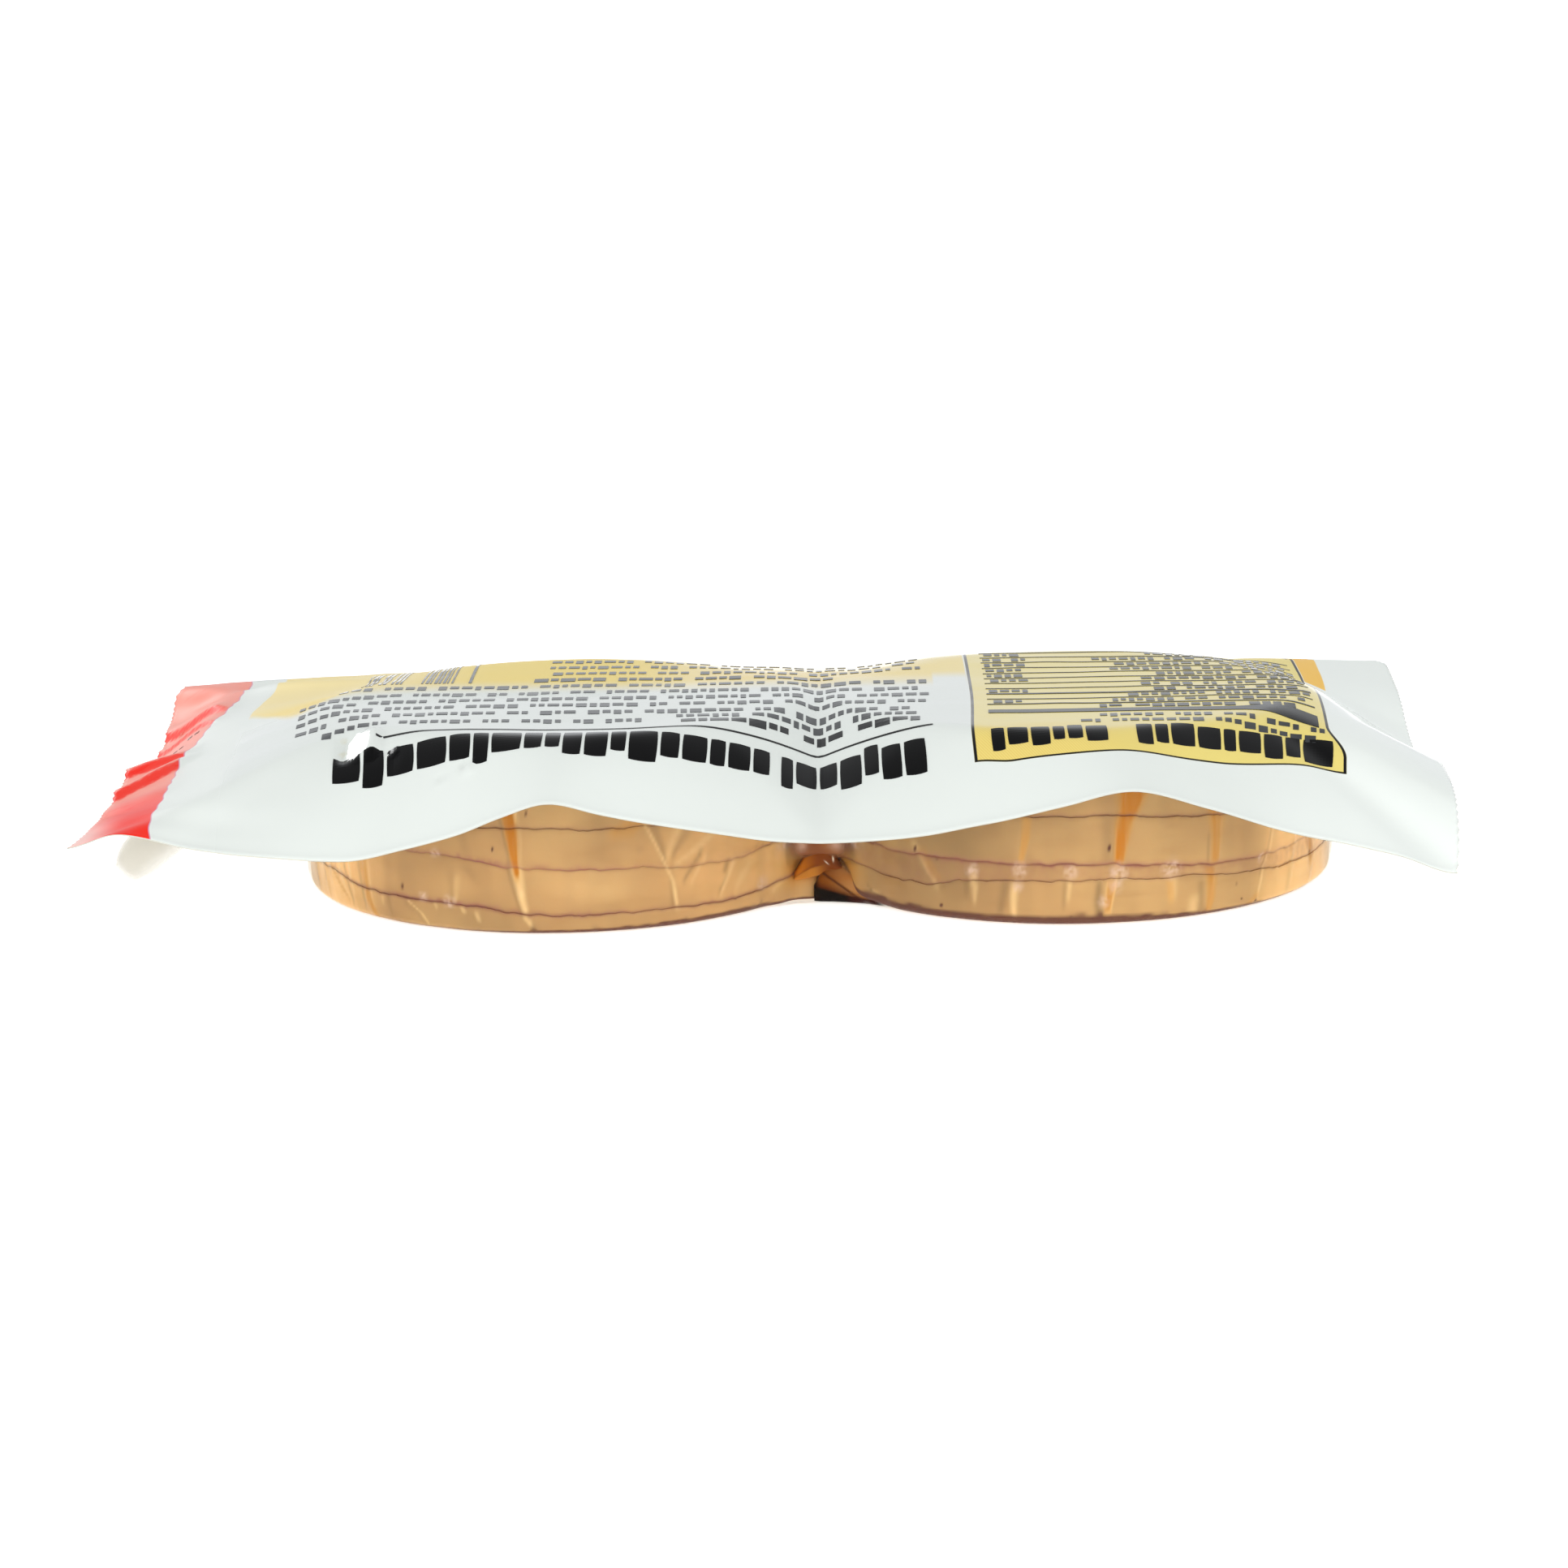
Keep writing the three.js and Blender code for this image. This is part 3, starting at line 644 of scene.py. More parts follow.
# a bold line and the small text beyond the rule
black.words(-13.0, 23.0, -24.0, 2.6, 2.5, 4, 61, gap=0.16)
sink = lambda u: -5.5 * float(smooth(-52, -70, np.array(u)))
for k, v_ in enumerate((-16.4, -11.0, -5.8, -0.6)):
    grey.words(-67.0 + 1.3 * float(hash01(k, 3)), 22.8, v_, 2.5, 1.7, 4, 71 + k, sag=sink)
grey.words(-62.0, -16.0, -22.2, 2.4, 1.7, 4, 69, sag=sink)
grey.words(-13.0, 22.8, -20.2, 2.3, 1.8, 4, 68)
grey.words(-62.0, 23.0, 4.8, 2.6, 1.8, 4, 79)
black.words(-34.0, 10.0, 10.0, 2.7, 2.0, 4, 80, gap=0.18)
for k, v_ in enumerate((15.2, 20.4, 25.2)):
    grey.words(-32.0, 22.8, v_, 2.4, 1.7, 4, 83 + k)
# upright bars on the far left of the field
for k in range(26):
    u_ = -58.7 + 0.62 * k
    if -52.4 < u_ < -50.6 or float(hash01(k, 6)) < 0.25:
        continue
    grey.block(u_, u_ + 0.18 + 0.34 * float(hash01(k, 8)), 9.0, 32.0, 2, 10)
# the panel's heading, bars and rules
drop = lambda u: -3.0 * float(smooth(60, 76, np.array(u)))
bend = lambda u: -3.2 * float(smooth(69, 78, np.array(u)))
black.heading(31.2, 48.2, -32.1, -36.3, 3.2, 91, tall=0.8)
black.heading(50.8, 78.8, -31.6, -36.6, 2.9, 97, tall=0.8)
black.rule(31.0, 76.4, -20.2, 2.0, sag=bend, wide=lambda u: 2.4 + 3.0 * float(smooth(65, 73, np.array(u))))
grey.words(43.5, 77.2, -28.4, 2.2, 1.65, 4, 21, sag=drop)
grey.words(46.0, 77.2, -24.4, 2.2, 1.65, 4, 22, sag=drop)
black.words(46.0, 76.4, -17.0, 2.3, 2.1, 4, 27, gap=0.16, sag=lambda u: 0.6 * bend(u))
for k in range(11):
    at = -14.6 + 4.1 * k
    mild = (lambda u: 0.6 * bend(u))
    (black if k in (0, 2) else grey).rule(30.9, 76.3, at, 0.75 if k == 2 else (0.5 if k == 0 else 0.28), sag=mild)
    if k < 10:
        start_ = 46.0 + 12.0 * float(hash01(k, 12))
        (black if k in (2, 4) else grey).words(start_, 76.6, at + 2.05, 2.1, 1.6, 4, 31 + k, sag=mild)
        if k % 2 == 0 or k > 4:
            grey.words(31.2, 37.6, at + 2.05, 2.1, 1.5, 3, 131 + k)
# fragments of print on the strip at the left end
for k in range(5):
    if k != 2:
        grey.block(-85.7 + 0.42 * k, -85.4 + 0.42 * k, 11.3 + 0.2 * (k % 2), 12.9, 2, 3)
        grey.block(-87.7 + 0.36 * k, -87.45 + 0.36 * k, 7.1, 8.2 + 0.2 * (k % 3), 2, 3)

for ink_, name_, colour_ in ((black, "print_bold", rgb(*INK)), (grey, "print_small", rgb(*INK_SMALL))):
    o = ink_.build(name_)
    o.data.materials.append(ink_material(name_, colour_, 0.12))


# ---------------------------------------------------------------- the stacks
# Angles about a stack's axis are in degrees, 0 towards the near edge and growing towards +X.
# The seams between slices as they show at the near side: (angle, height).
SEAMS = {
    "left": {1: [(-61, 5.3), (-56, 4.9), (-49, 4.2), (-32, 4.0), (-23, 4.0), (-7, 3.0), (3, 2.8), (23, 2.8), (35, 2.6), (46, 3.1), (52, 3.9), (58, 4.5)],
             2: [(-60, 11.2), (-34, 10.7), (-22, 10.6), (-12, 9.6), (3, 9.1), (16, 9.0), (30, 8.3), (40, 8.3), (47, 9.0), (58, 10.0)],
             3: [(-60, 14.9), (-2, 14.9), (5, 14.6), (18, 14.6), (60, 14.6)]},
    "right": {0: [(-60, 6.2), (-57.5, 5.4), (-56, 4.4), (-54.3, 2.8), (-52.6, 1.3), (-50, 0.75), (-45, 0.35), (-40, 0.22), (60, 0.22)],
              1: [(-58, 6.4), (-50, 5.6), (-44, 4.9), (-34, 4.8), (-25, 6.0), (-15, 6.2), (6, 6.5), (14, 6.3), (25, 6.1), (32, 5.6), (42, 5.1), (60, 4.7)],
              2: [(-58, 10.0), (-50, 9.4), (-40, 8.8), (-31, 9.0), (-13, 8.7), (-4, 8.8), (19, 8.1), (30, 7.4), (44, 7.2), (60, 7.6)],
              3: [(-60, 15.0), (-10, 15.3), (3, 15.4), (20, 14.6), (31, 14.1), (60, 14.0)]},
}
# how far each slice stands out (+) or lies back (-) at the near side
STANDS = {"left": [0.0, 0.06, -0.04, 0.06, -0.08, 0.0], "right": [0.0, 0.02, -0.12, 0.14, 0.02, -0.05]}
BASE_Z = 0.22
WEB_RADIUS = (HALF_C ** 2 + WEB_Y ** 2 - POCKET_R ** 2) / (2 * (POCKET_R - WEB_Y))
WEB_CENTRE = WEB_Y + WEB_RADIUS
TOUCH = math.atan2(WEB_CENTRE, HALF_C)
WEB_ANGLE = 90 - math.degrees(TOUCH)           # where the web leaves a stack's side


def wrap(a):
    return (a + 180.0) % 360.0 - 180.0


def lid_under(x, y):
    return look_up(BASE, x, y) - 0.75


def gap_angle(side, phi):
    """The angle seen from the gap: 0 to 90 from the near or far side towards the other stack,
    negative on the side away from it."""
    s = np.radians(phi)
    toward = np.sin(s) * (1 if side == "left" else -1)
    return np.degrees(np.arctan2(toward, np.abs(np.cos(s))))


def seam_z(side, k, phi, part):
    """Height of seam k. part is 0 on the axis and 1 at the rim."""
    p = np.radians(phi)
    x = STACK[side] + SLICE_R * part * np.sin(p)
    y = -SLICE_R * part * np.cos(p)
    if k == SLICES:
        return lid_under(x, y)
    top, tilt = CROWN[side]
    flat = mix(BASE_Z, top - tilt * y - 0.75, k / SLICES)
    # slices are laid by hand, so each seam leans a little its own way
    lean = 0.35 * np.sin(p + 2.1 * k + (1 if side == "left" else 0)) * part
    even = flat + lean if k else flat
    table = SEAMS[side].get(k)
    near = smooth(88, 62, np.abs(wrap(phi)))
    rag = 0.14 * noise1(phi * 0.45, k + (3 if side == "left" else 9)) + 0.07 * noise1(phi * 1.3, k + 20)
    if k == 0:
        rag = 0 * rag
    if table is None:
        return even + rag * smooth(0.8, 1, part)
    seen = along(table, wrap(phi)) - even
    return even + seen * near * smooth(0.55 if k else 0.86, 1, part) + rag * smooth(0.8, 1, part)


def rim_r(side, k, phi):
    """Radius of slice k at its rim."""
    near = smooth(95, 60, np.abs(wrap(phi)))
    s = k + (10 if side == "left" else 30)
    away = 0.22 * np.sin(np.radians(phi) * 1.0 + s * 1.9)
    r = SLICE_R + STANDS[side][k] * near + away * (1 - near) + 0.06 * noise1(phi / 9.0, s) + 0.02 * noise1(phi / 2.5, s + 3)
    g = gap_angle(side, phi)
    web = smooth(WEB_ANGLE - 1.0, WEB_ANGLE + 4.0, g)
    ga = np.radians(np.clip(g, WEB_ANGLE - 1, 80))
    inset = SLICE_R - POCKET_R - 0.3 * smooth(WEB_ANGLE, 52, g) - 1.6 * smooth(51, 58, g)
    d = np.sin(ga) * HALF_C + np.cos(ga) * WEB_CENTRE
    cc = HALF_C ** 2 + WEB_CENTRE ** 2
    disc = np.maximum(d * d - cc + (WEB_RADIUS - inset) ** 2, 0)
    r_web = d - np.sqrt(disc)
    return mix(r, r_web, web)


def flat_side(side, phi, r):
    """The stacks press flat on each other, with a rounded corner at each end of the flat."""
    g = np.radians(gap_angle(side, phi))
    plane = np.where(g > 0.05, (HALF_C - 0.12) / np.maximum(np.sin(g), 0.05), 1e3)
    k = 0.8
    lo = np.minimum(r, plane)
    both = lo - k * np.log(np.exp(-(r - lo) / k) + np.exp(-np.minimum(plane - lo, 60) / k))
    return np.where((g > math.radians(40)) & (r > 0.85 * plane), both, lo)


NEAR_SPAN, NEAR_STEP, FAR_STEP = 78.0, 0.30, 1.5


def columns():
    a = np.arange(-NEAR_SPAN, NEAR_SPAN, NEAR_STEP)
    b = np.linspace(NEAR_SPAN, 360 - NEAR_SPAN, int((360 - 2 * NEAR_SPAN) / FAR_STEP), endpoint=False)
    return np.concatenate([a, b])


# ---------------------------------------------------------------- the creases of the clear film
# Each crease: stack, points of (angle, height, width) from its top down, how far it stands
# off the meat, and how much juice it holds (0 none, 1 deep amber).
CREASES = [
    ("left", [(-10.9, 18.5, 4.3), (-10.3, 15.0, 3.3), (-9.6, 12.9, 2.6), (-9.4, 9.6, 1.7), (-8.4, 8.0, 1.2), (-7.7, 3.1, 0.9), (-6.8, 1.0, 0.6)], 0.55, 1.0),
    ("left", [(-46.9, 10.0, 1.8), (-46.7, 8.1, 1.4), (-46.2, 2.4, 1.0), (-43.7, 0.6, 0.7)], 0.35, 0.55),
    ("left", [(-62.0, 8.0, 0.9), (-61.0, 5.0, 0.7), (-58.5, 2.5, 0.6)], 0.28, 0.25),
    ("left", [(-57.0, 9.0, 0.9), (-56.0, 5.5, 0.7), (-51.5, 1.6, 0.6)], 0.28, 0.3),
    ("left", [(-52.7, 9.0, 0.8), (-51.8, 4.2, 0.7), (-49.5, 1.2, 0.5)], 0.30, 0.15),
    ("left", [(-66.0, 9.0, 0.9), (-64.5, 5.0, 0.8), (-62.0, 1.5, 0.6)], 0.30, 0.4),
    ("left", [(-72.0, 11.0, 1.2), (-71.0, 6.0, 0.9), (-68.0, 1.5, 0.6)], 0.35, 0.4),
    ("left", [(-36.0, 5.2, 0.6), (-33.5, 3.7, 0.6), (-30.8, 2.1, 0.55), (-28.3, 0.7, 0.5)], 0.16, 0.0),
    ("left", [(-20.5, 5.5, 0.6), (-19.5, 3.5, 0.5), (-19.0, 1.5, 0.5)], 0.12, 0.0),
    ("left", [(16.5, 16.4, 0.9), (18.0, 14.4, 0.8), (22.2, 9.3, 0.7), (24.9, 3.4, 0.55)], 0.22, 0.12),
    ("left", [(28.0, 15.6, 1.4), (25.6, 13.6, 1.1), (22.8, 10.7, 0.8)], 0.24, 0.1),
    ("left", [(36.5, 14.0, 1.0), (34.2, 12.1, 0.9), (30.5, 9.6, 0.9), (26.5, 6.5, 0.8)], 0.26, 0.2),
    ("left", [(41.0, 9.4, 0.8), (39.6, 7.9, 0.7), (35.1, 4.4, 0.6)], 0.20, 0.0),
    ("left", [(53.0, 6.9, 0.8), (50.0, 5.5, 0.7), (46.8, 3.2, 0.6)], 0.18, 0.0),
    ("right", [(11.4, 20.5, 5.4), (10.6, 18.4, 4.5), (8.3, 13.7, 2.6), (6.8, 8.8, 1.5), (5.6, 4.8, 1.0), (4.2, 1.2, 0.6)], 0.60, 1.0),
    ("right", [(-10.2, 17.0, 2.1), (-10.8, 14.9, 1.7), (-12.2, 8.9, 1.2), (-13.6, 6.0, 0.9), (-15.2, 2.4, 0.6), (-15.1, 1.0, 0.4)], 0.38, 0.6),
    ("right", [(29.6, 17.0, 2.6), (29.6, 14.6, 2.2), (29.8, 11.3, 1.7), (29.8, 7.6, 1.2), (28.4, 4.8, 0.9), (27.2, 1.0, 0.5)], 0.42, 0.75),
    ("right", [(44.2, 13.0, 0.7), (43.7, 7.3, 0.6), (43.3, 4.6, 0.6), (40.1, 1.2, 0.5)], 0.24, 0.0),
    ("right", [(53.4, 10.0, 1.0), (53.2, 7.3, 0.9), (52.9, 4.6, 0.9), (51.0, 2.0, 0.6)], 0.26, 0.1),
    ("right", [(62.0, 9.5, 1.1), (61.9, 6.5, 0.9), (62.0, 3.3, 0.8), (60.0, 1.5, 0.6)], 0.28, 0.6),
    ("right", [(18.9, 8.8, 0.9), (18.4, 6.1, 0.8), (17.7, 1.1, 0.6)], 0.22, 0.35),
    ("right", [(-3.4, 8.6, 0.6), (-3.8, 6.4, 0.55), (-3.8, 3.2, 0.5)], 0.16, 0.0),
    ("right", [(-24.3, 8.6, 0.7), (-24.3, 6.6, 0.6), (-24.0, 3.6, 0.55)], 0.18, 0.0),
    ("right", [(-38.0, 12.4, 1.1), (-37.1, 10.2, 1.0), (-33.7, 6.5, 1.0), (-29.4, 2.2, 0.7)], 0.24, 0.3),
    ("right", [(-46.0, 6.0, 0.8), (-44.0, 3.2, 0.8), (-43.2, 1.2, 0.6)], 0.22, 0.2),
]
# the sides that face away are creased in the same way
for side in ("left", "right"):
    n = 17
    for i in range(n):
        seed = i + (100 if side == "left" else 200)
        a = mix(76, 284, (i + 0.8 * float(hash01(i, seed))) / n)
        g = float(gap_angle(side, np.array(a)))
        if g > WEB_ANGLE - 4:
            continue
        big = float(hash01(i, seed + 5))
        w = 0.9 + 2.2 * big ** 3
        drift = 5.0 * (float(hash01(i, seed + 7)) - 0.5)
        CREASES.append((side, [(a, 19.0, w * 1.2), (a + drift * 0.3, 12.0, w * 0.8), (a + drift * 0.7, 6.0, w * 0.5 + 0.3), (a + drift, 1.0, 0.6)],
                        0.22 + 0.35 * big ** 2, 0.9 * float(smooth(0.35, 0.95, big))))


def crease_at(spec, phi, z):
    """(how far across the crease, -1 to 1 inside it; its strength along its length; its width)."""
    side, pts, height, juice = spec
    P = np.array(sorted(pts, key=lambda q: q[1]))
    c = np.interp(z, P[:, 1], P[:, 0])
    w = np.interp(z, P[:, 1], P[:, 2])
    t = wrap(phi - c) * math.radians(1) * SLICE_R / (w * 0.5)
    fade = smooth(P[0, 1] - 1.2, P[0, 1] + 0.6, z) * (1 - smooth(P[-1, 1] - 0.2, P[-1, 1] + 1.6, z))
    return t, fade, w


# Soft marks on the slices where the film is pressed, folded or wet. Each: stack, kind (p pale, a painted highlight of a
# fold;
# d dark, painted shade beside a fold; a amber juice), strength, points of (angle, height, width in mm) from the top
# down.
MARKS = [
    ("left", "p", 0.90, [(-8.8, 16.8, 0.56), (-9.0, 15.4, 0.41)]),
    ("left", "a", 1.0, [(-10.3, 16.7, 1.9), (-9.8, 14.7, 1.92), (-9.5, 13.0, 1.54), (-9.2, 10.5, 1.1), (-8.8, 8.4, 0.8)]),
    ("left", "d", 0.50, [(-11.8, 15.6, 0.57), (-11.0, 13.2, 0.57), (-10.4, 11.7, 0.67), (-10.2, 9.6, 0.67)]),
    ("left", "p", 0.20, [(-8.0, 14.9, 0.51), (-7.7, 13.0, 0.56), (-8.1, 9.7, 0.56)]),
    ("left", "p", 0.90, [(-8.8, 9.4, 1.41), (-8.5, 8.1, 1.33), (-7.9, 5.4, 1.07), (-7.2, 3.3, 0.82)]),
    ("left", "d", 0.55, [(-10.6, 9.3, 0.77), (-9.5, 6.3, 0.67), (-8.1, 3.1, 0.56)]),
    ("left", "p", 0.60, [(-7.1, 2.6, 1.02), (-6.0, 1.5, 0.76)]),
    ("left", "d", 0.80, [(-5.8, 1.5, 0.76), (-5.5, 0.4, 0.86)]),
    ("left", "d", 0.25, [(-23.4, 8.3, 1.38), (-23.3, 3.8, 0.83)]),
    ("left", "p", 0.30, [(-22.0, 7.6, 1.09), (-22.6, 4.1, 0.66)]),
    ("left", "d", 0.28, [(-20.1, 9.4, 1.62), (-18.0, 7.8, 1.59)]),
    ("left", "p", 0.60, [(-34.1, 3.6, 0.49), (-30.9, 2.3, 0.41), (-29.4, 1.0, 0.35)]),
    ("left", "d", 0.35, [(-35.0, 3.2, 0.49), (-31.8, 2.0, 0.42), (-30.1, 0.5, 0.41)]),
    ("left", "a", 0.60, [(-47.8, 8.0, 1.66), (-47.2, 4.8, 1.49), (-45.6, 2.4, 1.3), (-44.0, 0.9, 1.2)]),
    ("left", "p", 0.50, [(-46.2, 7.9, 0.51), (-45.7, 4.4, 0.51), (-44.5, 2.1, 0.43)]),
    ("left", "d", 0.50, [(-49.5, 7.5, 0.55), (-48.6, 4.6, 0.53), (-47.2, 2.0, 0.52)]),
    ("left", "p", 0.90, [(-53.2, 7.0, 0.59), (-52.7, 5.1, 0.5), (-51.3, 3.3, 0.4)]),
    ("left", "p", 0.80, [(-57.7, 6.3, 0.57), (-56.2, 4.7, 0.45), (-53.4, 2.5, 0.38)]),
    ("left", "d", 0.60, [(-55.2, 6.6, 0.62), (-54.1, 4.7, 0.52), (-51.7, 2.0, 0.41)]),
    ("left", "d", 0.50, [(-59.4, 6.0, 0.6), (-58.0, 4.7, 0.48)]),
    ("left", "a", 0.50, [(-61.1, 5.5, 1.15), (-57.0, 3.6, 0.93), (-53.4, 2.0, 0.76)]),
    ("left", "p", 0.60, [(-62.7, 5.2, 0.44), (-59.1, 4.0, 0.39)]),
    ("left", "d", 0.30, [(-20.4, 14.1, 1.62), (-19.8, 11.4, 1.61)]),
    ("left", "d", 0.30, [(-40.0, 4.0, 0.99), (-39.1, 1.6, 0.98)]),
    ("left", "p", 0.45, [(-41.8, 3.7, 0.54), (-41.5, 2.8, 0.41)]),
    ("left", "p", 0.45, [(-27.7, 4.2, 0.46), (-27.1, 3.2, 0.34)]),
    ("left", "p", 0.50, [(-21.0, 3.8, 0.81), (-20.6, 3.0, 0.7)]),
    ("left", "p", 0.50, [(-17.7, 3.0, 0.8), (-17.2, 1.9, 0.63)]),
    ("left", "p", 0.75, [(18.7, 14.4, 0.48), (20.6, 11.9, 0.43), (22.4, 9.4, 0.41), (24.2, 6.7, 0.61), (25.0, 3.2, 0.56)]),
    ("left", "d", 0.45, [(21.0, 13.0, 1.35), (21.9, 11.1, 1.09), (22.4, 9.8, 0.55)]),
    ("left", "d", 0.40, [(23.9, 7.2, 0.83), (24.1, 3.2, 0.72)]),
    ("left", "p", 0.45, [(25.4, 13.5, 1.4), (24.1, 11.7, 1.27), (23.1, 10.1, 0.71)]),
    ("left", "d", 0.42, [(27.3, 13.0, 1.88), (25.6, 11.5, 1.46), (24.4, 10.2, 0.56)]),
    ("left", "p", 0.55, [(33.2, 12.3, 1.81), (30.1, 10.9, 1.87), (27.2, 9.7, 1.7), (25.1, 8.9, 1.01)]),
    ("left", "d", 0.60, [(30.8, 10.1, 0.76), (28.8, 8.3, 0.98), (26.8, 6.6, 0.68)]),
    ("left", "p", 0.50, [(32.0, 9.4, 0.48), (30.3, 7.9, 0.53), (28.5, 6.2, 0.46)]),
    ("left", "d", 0.60, [(37.5, 8.2, 0.83), (36.7, 6.9, 0.82)]),
    ("left", "p", 0.60, [(39.0, 8.0, 0.85), (37.6, 6.2, 0.83), (35.7, 3.9, 0.56)]),
    ("left", "d", 0.45, [(37.3, 6.2, 0.45), (35.1, 4.2, 0.56)]),
    ("left", "p", 0.40, [(43.6, 7.5, 2.1), (41.1, 5.5, 1.68), (39.6, 4.2, 0.85)]),
    ("left", "p", 0.55, [(55.5, 5.2, 1.96), (52.2, 3.6, 1.57), (49.8, 2.7, 1.02)]),
    ("left", "a", 0.45, [(16.5, 15.3, 4.48), (14.2, 14.5, 5.22), (13.5, 13.8, 3.9)]),
    ("left", "a", 0.55, [(59.0, 7.7, 2.95), (57.5, 5.1, 2.82), (56.0, 2.8, 2.71)]),
    ("left", "d", 0.70, [(27.0, 1.3, 0.51), (26.0, 0.6, 0.73)]),
    ("left", "d", 0.80, [(46.6, 1.3, 0.51), (44.9, 0.4, 0.64), (43.3, -0.1, 1.18)]),
    ("left", "d", 0.35, [(7.2, 1.4, 0.76), (7.2, 0.5, 0.87)]),
    ("left", "d", 0.25, [(17.1, 11.9, 1.32), (16.9, 11.1, 1.32)]),
    ("left", "d", 0.18, [(7.9, 14.0, 10.72), (7.8, 9.8, 10.72)]),
    ("left", "p", 0.18, [(7.7, 8.6, 10.71), (7.6, 5.2, 10.71)]),
    ("right", "p", 0.45, [(-36.6, 10.2, 1.26), (-34.2, 7.3, 1.22), (-31.5, 4.8, 1.07)]),
    ("right", "d", 0.50, [(-35.9, 8.6, 0.56), (-33.4, 5.8, 0.54), (-31.7, 4.5, 0.48)]),
    ("right", "a", 0.30, [(-35.0, 9.2, 1.85), (-31.6, 6.0, 1.78)]),
    ("right", "d", 0.35, [(-24.5, 7.5, 0.83), (-24.5, 4.0, 0.94)]),
    ("right", "p", 0.60, [(-22.9, 6.8, 1.21), (-22.6, 5.1, 1.1), (-22.6, 3.4, 0.55)]),
    ("right", "p", 0.35, [(-11.4, 14.8, 1.29), (-11.8, 11.9, 1.14), (-12.6, 9.2, 1.04)]),
    ("right", "a", 0.52, [(-11.2, 15.1, 1.44), (-11.6, 11.9, 1.29), (-12.6, 9.2, 0.93)]),
    ("right", "d", 0.60, [(-12.1, 14.8, 0.22), (-12.5, 11.9, 0.22), (-13.2, 9.2, 0.22)]),
    ("right", "d", 0.50, [(-15.8, 6.0, 1.31), (-16.4, 3.9, 1.32), (-17.0, 1.9, 1.06)]),
    ("right", "p", 0.70, [(-13.9, 5.4, 1.3), (-14.2, 3.0, 1.04), (-14.0, 1.0, 0.78)]),
    ("right", "d", 0.40, [(-3.3, 6.1, 0.86), (-3.7, 3.1, 0.66)]),
    ("right", "p", 0.50, [(-2.4, 6.3, 0.76), (-2.8, 4.1, 0.66)]),
    ("right", "d", 0.90, [(-49.8, 2.9, 0.35), (-48.2, 2.1, 0.38), (-46.9, 0.9, 0.59)]),
    ("right", "p", 0.35, [(-46.8, 1.5, 2.22), (-47.6, 2.4, 2.25)]),
    ("right", "d", 0.20, [(-41.1, 8.1, 4.36), (-37.4, 5.5, 4.14)]),
    ("right", "a", 0.75, [(-58.9, 6.6, 4.4), (-60.4, 4.9, 4.61), (-59.0, 3.5, 6.38)]),
    ("right", "a", 0.80, [(-60.5, 3.1, 10.27), (-57.7, 2.2, 8.98), (-57.7, 0.7, 7.1)]),
    ("right", "p", 0.30, [(-53.7, 2.2, 3.84), (-52.5, 0.8, 3.74)]),
    ("right", "d", 0.50, [(-27.5, 5.5, 0.97), (-30.0, 4.8, 1.17)]),
    ("right", "d", 0.18, [(-21.0, 12.6, 13.54), (-21.1, 9.1, 13.55)]),
    ("right", "a", 0.88, [(10.6, 17.5, 4.12), (10.1, 16.1, 3.34), (9.0, 14.4, 2.56), (7.8, 8.8, 1.43)]),
    ("right", "p", 0.35, [(9.0, 16.6, 0.41), (8.6, 14.4, 0.36), (7.6, 9.1, 0.26)]),
    ("right", "d", 0.35, [(8.0, 17.4, 0.51), (7.1, 14.5, 0.36), (6.4, 9.1, 0.25)]),
    ("right", "d", 0.35, [(5.4, 12.8, 1.78), (5.2, 9.1, 1.52)]),
    ("right", "a", 0.55, [(6.5, 6.2, 1.42), (5.8, 4.0, 1.27), (5.4, 2.0, 1.02)]),
    ("right", "p", 0.80, [(7.5, 6.9, 0.31), (6.7, 4.4, 0.31), (6.0, 2.0, 0.25)]),
    ("right", "p", 0.50, [(5.4, 5.9, 0.25), (5.0, 3.5, 0.25)]),
    ("right", "d", 0.75, [(3.7, 6.0, 1.01), (3.4, 3.0, 1.16), (3.9, 1.1, 1.01)]),
    ("right", "p", 0.50, [(5.7, 2.0, 0.86), (5.5, 1.0, 0.76)]),
    ("right", "a", 0.62, [(29.9, 14.3, 2.8), (29.9, 11.4, 1.92), (29.5, 7.7, 1.28)]),
    ("right", "a", 0.60, [(28.2, 7.1, 1.72), (28.8, 5.5, 1.73), (28.6, 2.6, 1.44), (27.9, 0.7, 0.86)]),
    ("right", "p", 0.50, [(29.3, 5.2, 0.29), (28.8, 2.6, 0.29), (28.2, 1.4, 0.29)]),
    ("right", "d", 0.40, [(27.9, 11.5, 0.46), (27.7, 7.9, 0.46)]),
    ("right", "d", 0.50, [(26.2, 4.8, 1.13), (26.0, 0.8, 1.24)]),
    ("right", "p", 0.50, [(24.5, 2.9, 1.67), (24.1, 0.7, 1.66)]),
    ("right", "p", 0.50, [(19.5, 5.7, 1.61), (19.4, 3.3, 1.18)]),
    ("right", "a", 0.40, [(18.9, 5.6, 1.34), (19.1, 3.1, 1.07)]),
    ("right", "d", 0.20, [(19.3, 12.2, 1.61), (19.3, 8.5, 1.07)]),
    ("right", "p", 0.70, [(45.8, 10.2, 0.36), (44.9, 7.3, 0.36), (42.9, 5.0, 0.55), (41.3, 1.7, 0.47)]),
    ("right", "d", 0.40, [(45.0, 10.0, 0.29), (43.7, 6.7, 0.28), (41.8, 4.7, 0.34)]),
    ("right", "a", 0.50, [(41.0, 1.8, 1.14), (38.7, 0.5, 1.62)]),
    ("right", "p", 0.50, [(55.7, 7.0, 0.9), (53.5, 5.2, 0.77), (51.8, 2.6, 0.57)]),
    ("right", "d", 0.25, [(52.1, 3.9, 0.99), (51.1, 1.0, 0.97)]),
